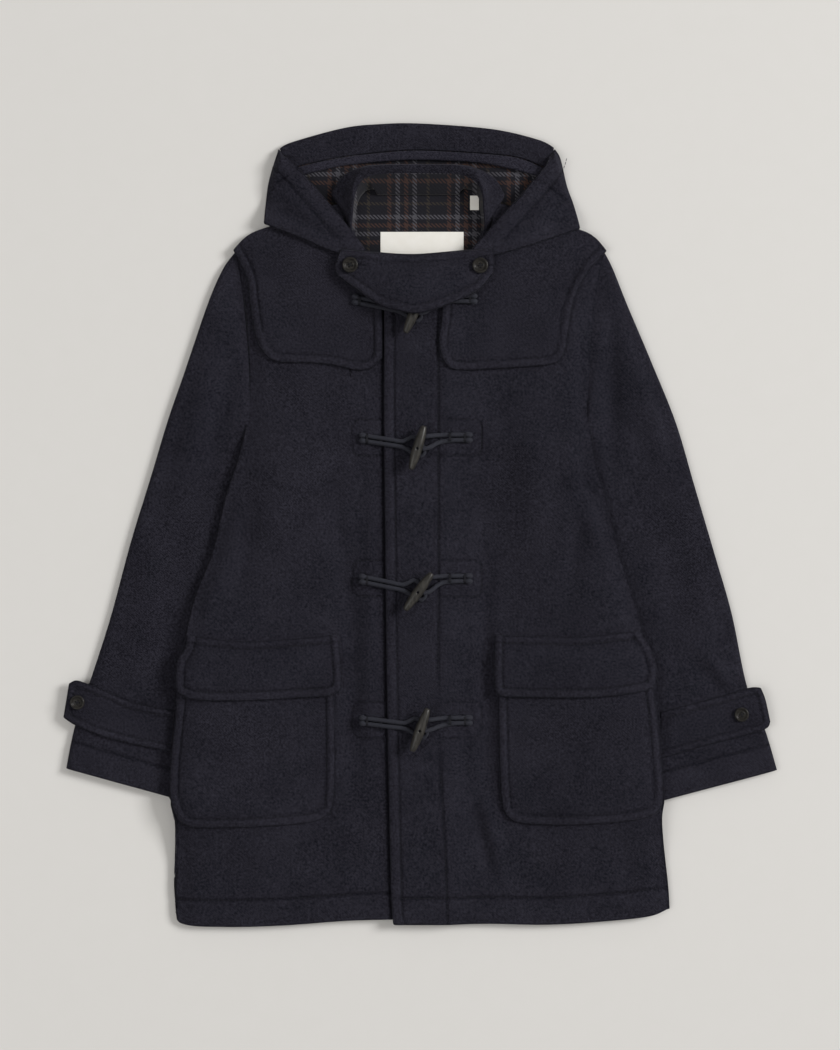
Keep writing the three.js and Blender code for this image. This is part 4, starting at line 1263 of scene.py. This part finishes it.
def rope(node, route, knobs):
    """A laid cord of three strands along a route, with a whipped knob at the ends that show."""
    path = curve(route, 12)
    line = path(np.linspace(0, 1, 240))
    length = float(np.sum(np.linalg.norm(np.diff(line, axis=0), axis=1)))
    tube = round_tube(18, max(12, int(length / ROPE_STEP)), capped=True)
    spots = np.array([vert.co for vert in tube.verts])
    share = np.clip(spots[:, 2] + 0.5, 0, 1)
    turn = np.arctan2(spots[:, 1], spots[:, 0])
    centre = path(share)
    ahead = path(np.clip(share + 0.02, 0, 1)) - path(np.clip(share - 0.02, 0, 1))
    ahead /= np.linalg.norm(ahead, axis=1)[:, None]
    side = np.cross(ahead, (0, 0, 1.0))
    side /= np.linalg.norm(side, axis=1)[:, None]
    up = np.cross(side, ahead)
    along = share * length
    twist = turn - math.tau * along / (STRANDS * ROPE_TWIST)
    radius = ROPE * (0.84 + 0.18 * np.abs(np.cos(STRANDS / 2 * twist)))
    for at_end, knob in zip((along, length - along), knobs):
        if knob:
            swell = 1 + 0.3 * np.exp(-(((at_end - 4.5) / 3.2) ** 2))
            swell -= 0.22 * np.exp(-(((at_end - 9.5) / 1.3) ** 2))
            tip = np.sqrt(np.clip(1 - (1 - np.clip((at_end + 0.2) / 3.4, 0, 1)) ** 2, 0, 1))
            radius = radius * swell * np.maximum(tip, 0.12)
    place = centre + radius[:, None] * (np.cos(turn)[:, None] * side + np.sin(turn)[:, None] * up)
    for vert, spot in zip(tube.verts, place):
        vert.co = spot
    bmesh.ops.recalc_face_normals(tube, faces=tube.faces)
    placed(finished(node + "_cord", tube, cord_yarn), node)


def bar_tacks(name, places):
    """Close turns of thread across the two strands of a cord."""
    tacks = bmesh.new()
    for x, y, z in places:
        for turn in (-0.9, 0, 0.9):
            at = Matrix.Translation((x + turn, y, z)) @ Matrix.Rotation(math.pi / 2, 4, "X")
            bar = bmesh.ops.create_cone(
                tacks, cap_ends=True, segments=8, radius1=0.5, radius2=0.5, depth=13.5, matrix=at,
            )
            bmesh.ops.subdivide_edges(
                tacks, cuts=9, use_grid_fill=True,
                edges=list({edge for vert in bar["verts"] for edge in vert.link_edges
                            if edge.calc_length() > 10}),
            )
    for vert in tacks.verts:
        x, y, z = min(places, key=lambda place: math.hypot(vert.co.x - place[0], vert.co.y - place[1]))
        off = min(abs(vert.co.y - y), 7)
        vert.co.z += -0.45 * math.cos(min(off / STRAND_GAP, 2) * math.pi) - 1.6 * max(0, off - 4.3)
    placed(finished(name, tacks, thread))


TOGGLES = [  # middle, lean, the height of its cords on the coat, their outer ends, what they lie on
    (-7, 262, 23, 279, -84, 71, over_yokes),
    (-3, 95, 17, 108, -75, 65, front_top),
    (-2, -82, 36, -66, -75, 65, front_top),
    (0, -252, 20, -241, -75, 65, front_top),
]
all_tacks = []
for number, (mid_x, mid_y, lean, cords_y, loop_x, rope_x, surface) in enumerate(TOGGLES, 1):
    def height(x, y):
        return float(surface(np.array([float(x)]), np.array([float(y)]))[0]) + 0.3

    rest = height(0, mid_y) + 2 * ROPE
    axis_z = rest + 0.3 + TOGGLE_RADIUS
    tilt = math.radians(lean)
    body = spun([(r * TOGGLE_RADIUS, h * TOGGLE_LENGTH / 2) for r, h in TOGGLE_PROFILE], 28)
    bore = bmesh.new()
    bmesh.ops.create_cone(
        bore, cap_ends=True, segments=14, radius1=BORE_RADIUS, radius2=BORE_RADIUS, depth=30,
        matrix=Matrix.Translation((0, 0, -1)) @ Matrix.Rotation(math.pi / 2, 4, "X"),
    )
    shape = drilled(body, bore)
    stand_up = Matrix.Rotation(-tilt, 4, "Z") @ Matrix.Rotation(-math.pi / 2, 4, "X")
    bmesh.ops.transform(
        shape, verts=shape.verts, matrix=Matrix.Translation((mid_x, mid_y, axis_z)) @ stand_up,
    )
    placed(finished(f"toggle_{number}_horn", shape, toggle_horn), f"toggle_{number}")

    def drop(x, start):
        reached = np.clip((x - start) / (mid_x - 14 - start), 0, 1)
        return cords_y + (mid_y + 4 - cords_y) * float(reached)

    def strand(x, off, z):
        return (x, drop(x, loop_x) + off, z)

    under = rest - ROPE
    flat_z = height(-60, cords_y) + ROPE
    # The tip of the loop shows past the toggle's lower right side.
    tip_x, tip_y = mid_x + 7.5, mid_y - 4
    rope(f"loop_{number}", [
        strand(loop_x, STRAND_GAP, flat_z), strand(-58, STRAND_GAP, flat_z + 0.2),
        strand(-38, STRAND_GAP, under), strand(mid_x - 20, STRAND_GAP, under),
        (mid_x - 12, mid_y + 11, under + 0.6), (mid_x - 5, mid_y + 13.5, under),
        (mid_x + 3, mid_y + 9, under), (tip_x, tip_y + 2, under), (tip_x + 0.4, tip_y - 2.6, under),
        (tip_x - 5, tip_y - 6, under),
        (mid_x - 6, mid_y - 6, under), (mid_x - 14, mid_y - 0.8, under + 0.4),
        strand(mid_x - 22, -STRAND_GAP, under), strand(-38, -STRAND_GAP, under),
        strand(-58, -STRAND_GAP, flat_z + 0.2), strand(loop_x, -STRAND_GAP, flat_z),
    ], (True, True))

    end_z = height(rope_x, cords_y) + ROPE
    mid_z = height(mid_x + 44, cords_y) + ROPE
    rope(f"rope_{number}a", [
        (rope_x, cords_y + STRAND_GAP, end_z), (mid_x + 46, cords_y + STRAND_GAP, mid_z),
        (mid_x + 28, cords_y + STRAND_GAP - 0.6, mid_z + 0.8),
        (mid_x + 12, cords_y + 1.2, axis_z - 3.5), (mid_x + 3, cords_y - 1.5, axis_z - 6.5),
    ], (True, False))
    rope(f"rope_{number}b", [
        (rope_x, cords_y - STRAND_GAP, end_z), (mid_x + 46, cords_y - STRAND_GAP, mid_z),
        (mid_x + 28, cords_y - STRAND_GAP - 2.5, mid_z + 0.8),
        (mid_x + 14, mid_y + 0.5, axis_z - 3), (mid_x + 5.5, mid_y - 1.5, axis_z - 1.5),
    ], (True, False))
    for tack_x in (loop_x + 9.6, loop_x + 27, rope_x - 9.6, rope_x - 28):
        if number == 1 and tack_x in (loop_x + 27, rope_x - 28):
            continue
        all_tacks.append((tack_x, drop(tack_x, loop_x) if tack_x < 0 else cords_y,
                          height(tack_x, cords_y) + 2 * ROPE))
bar_tacks("cord_tacks", all_tacks)
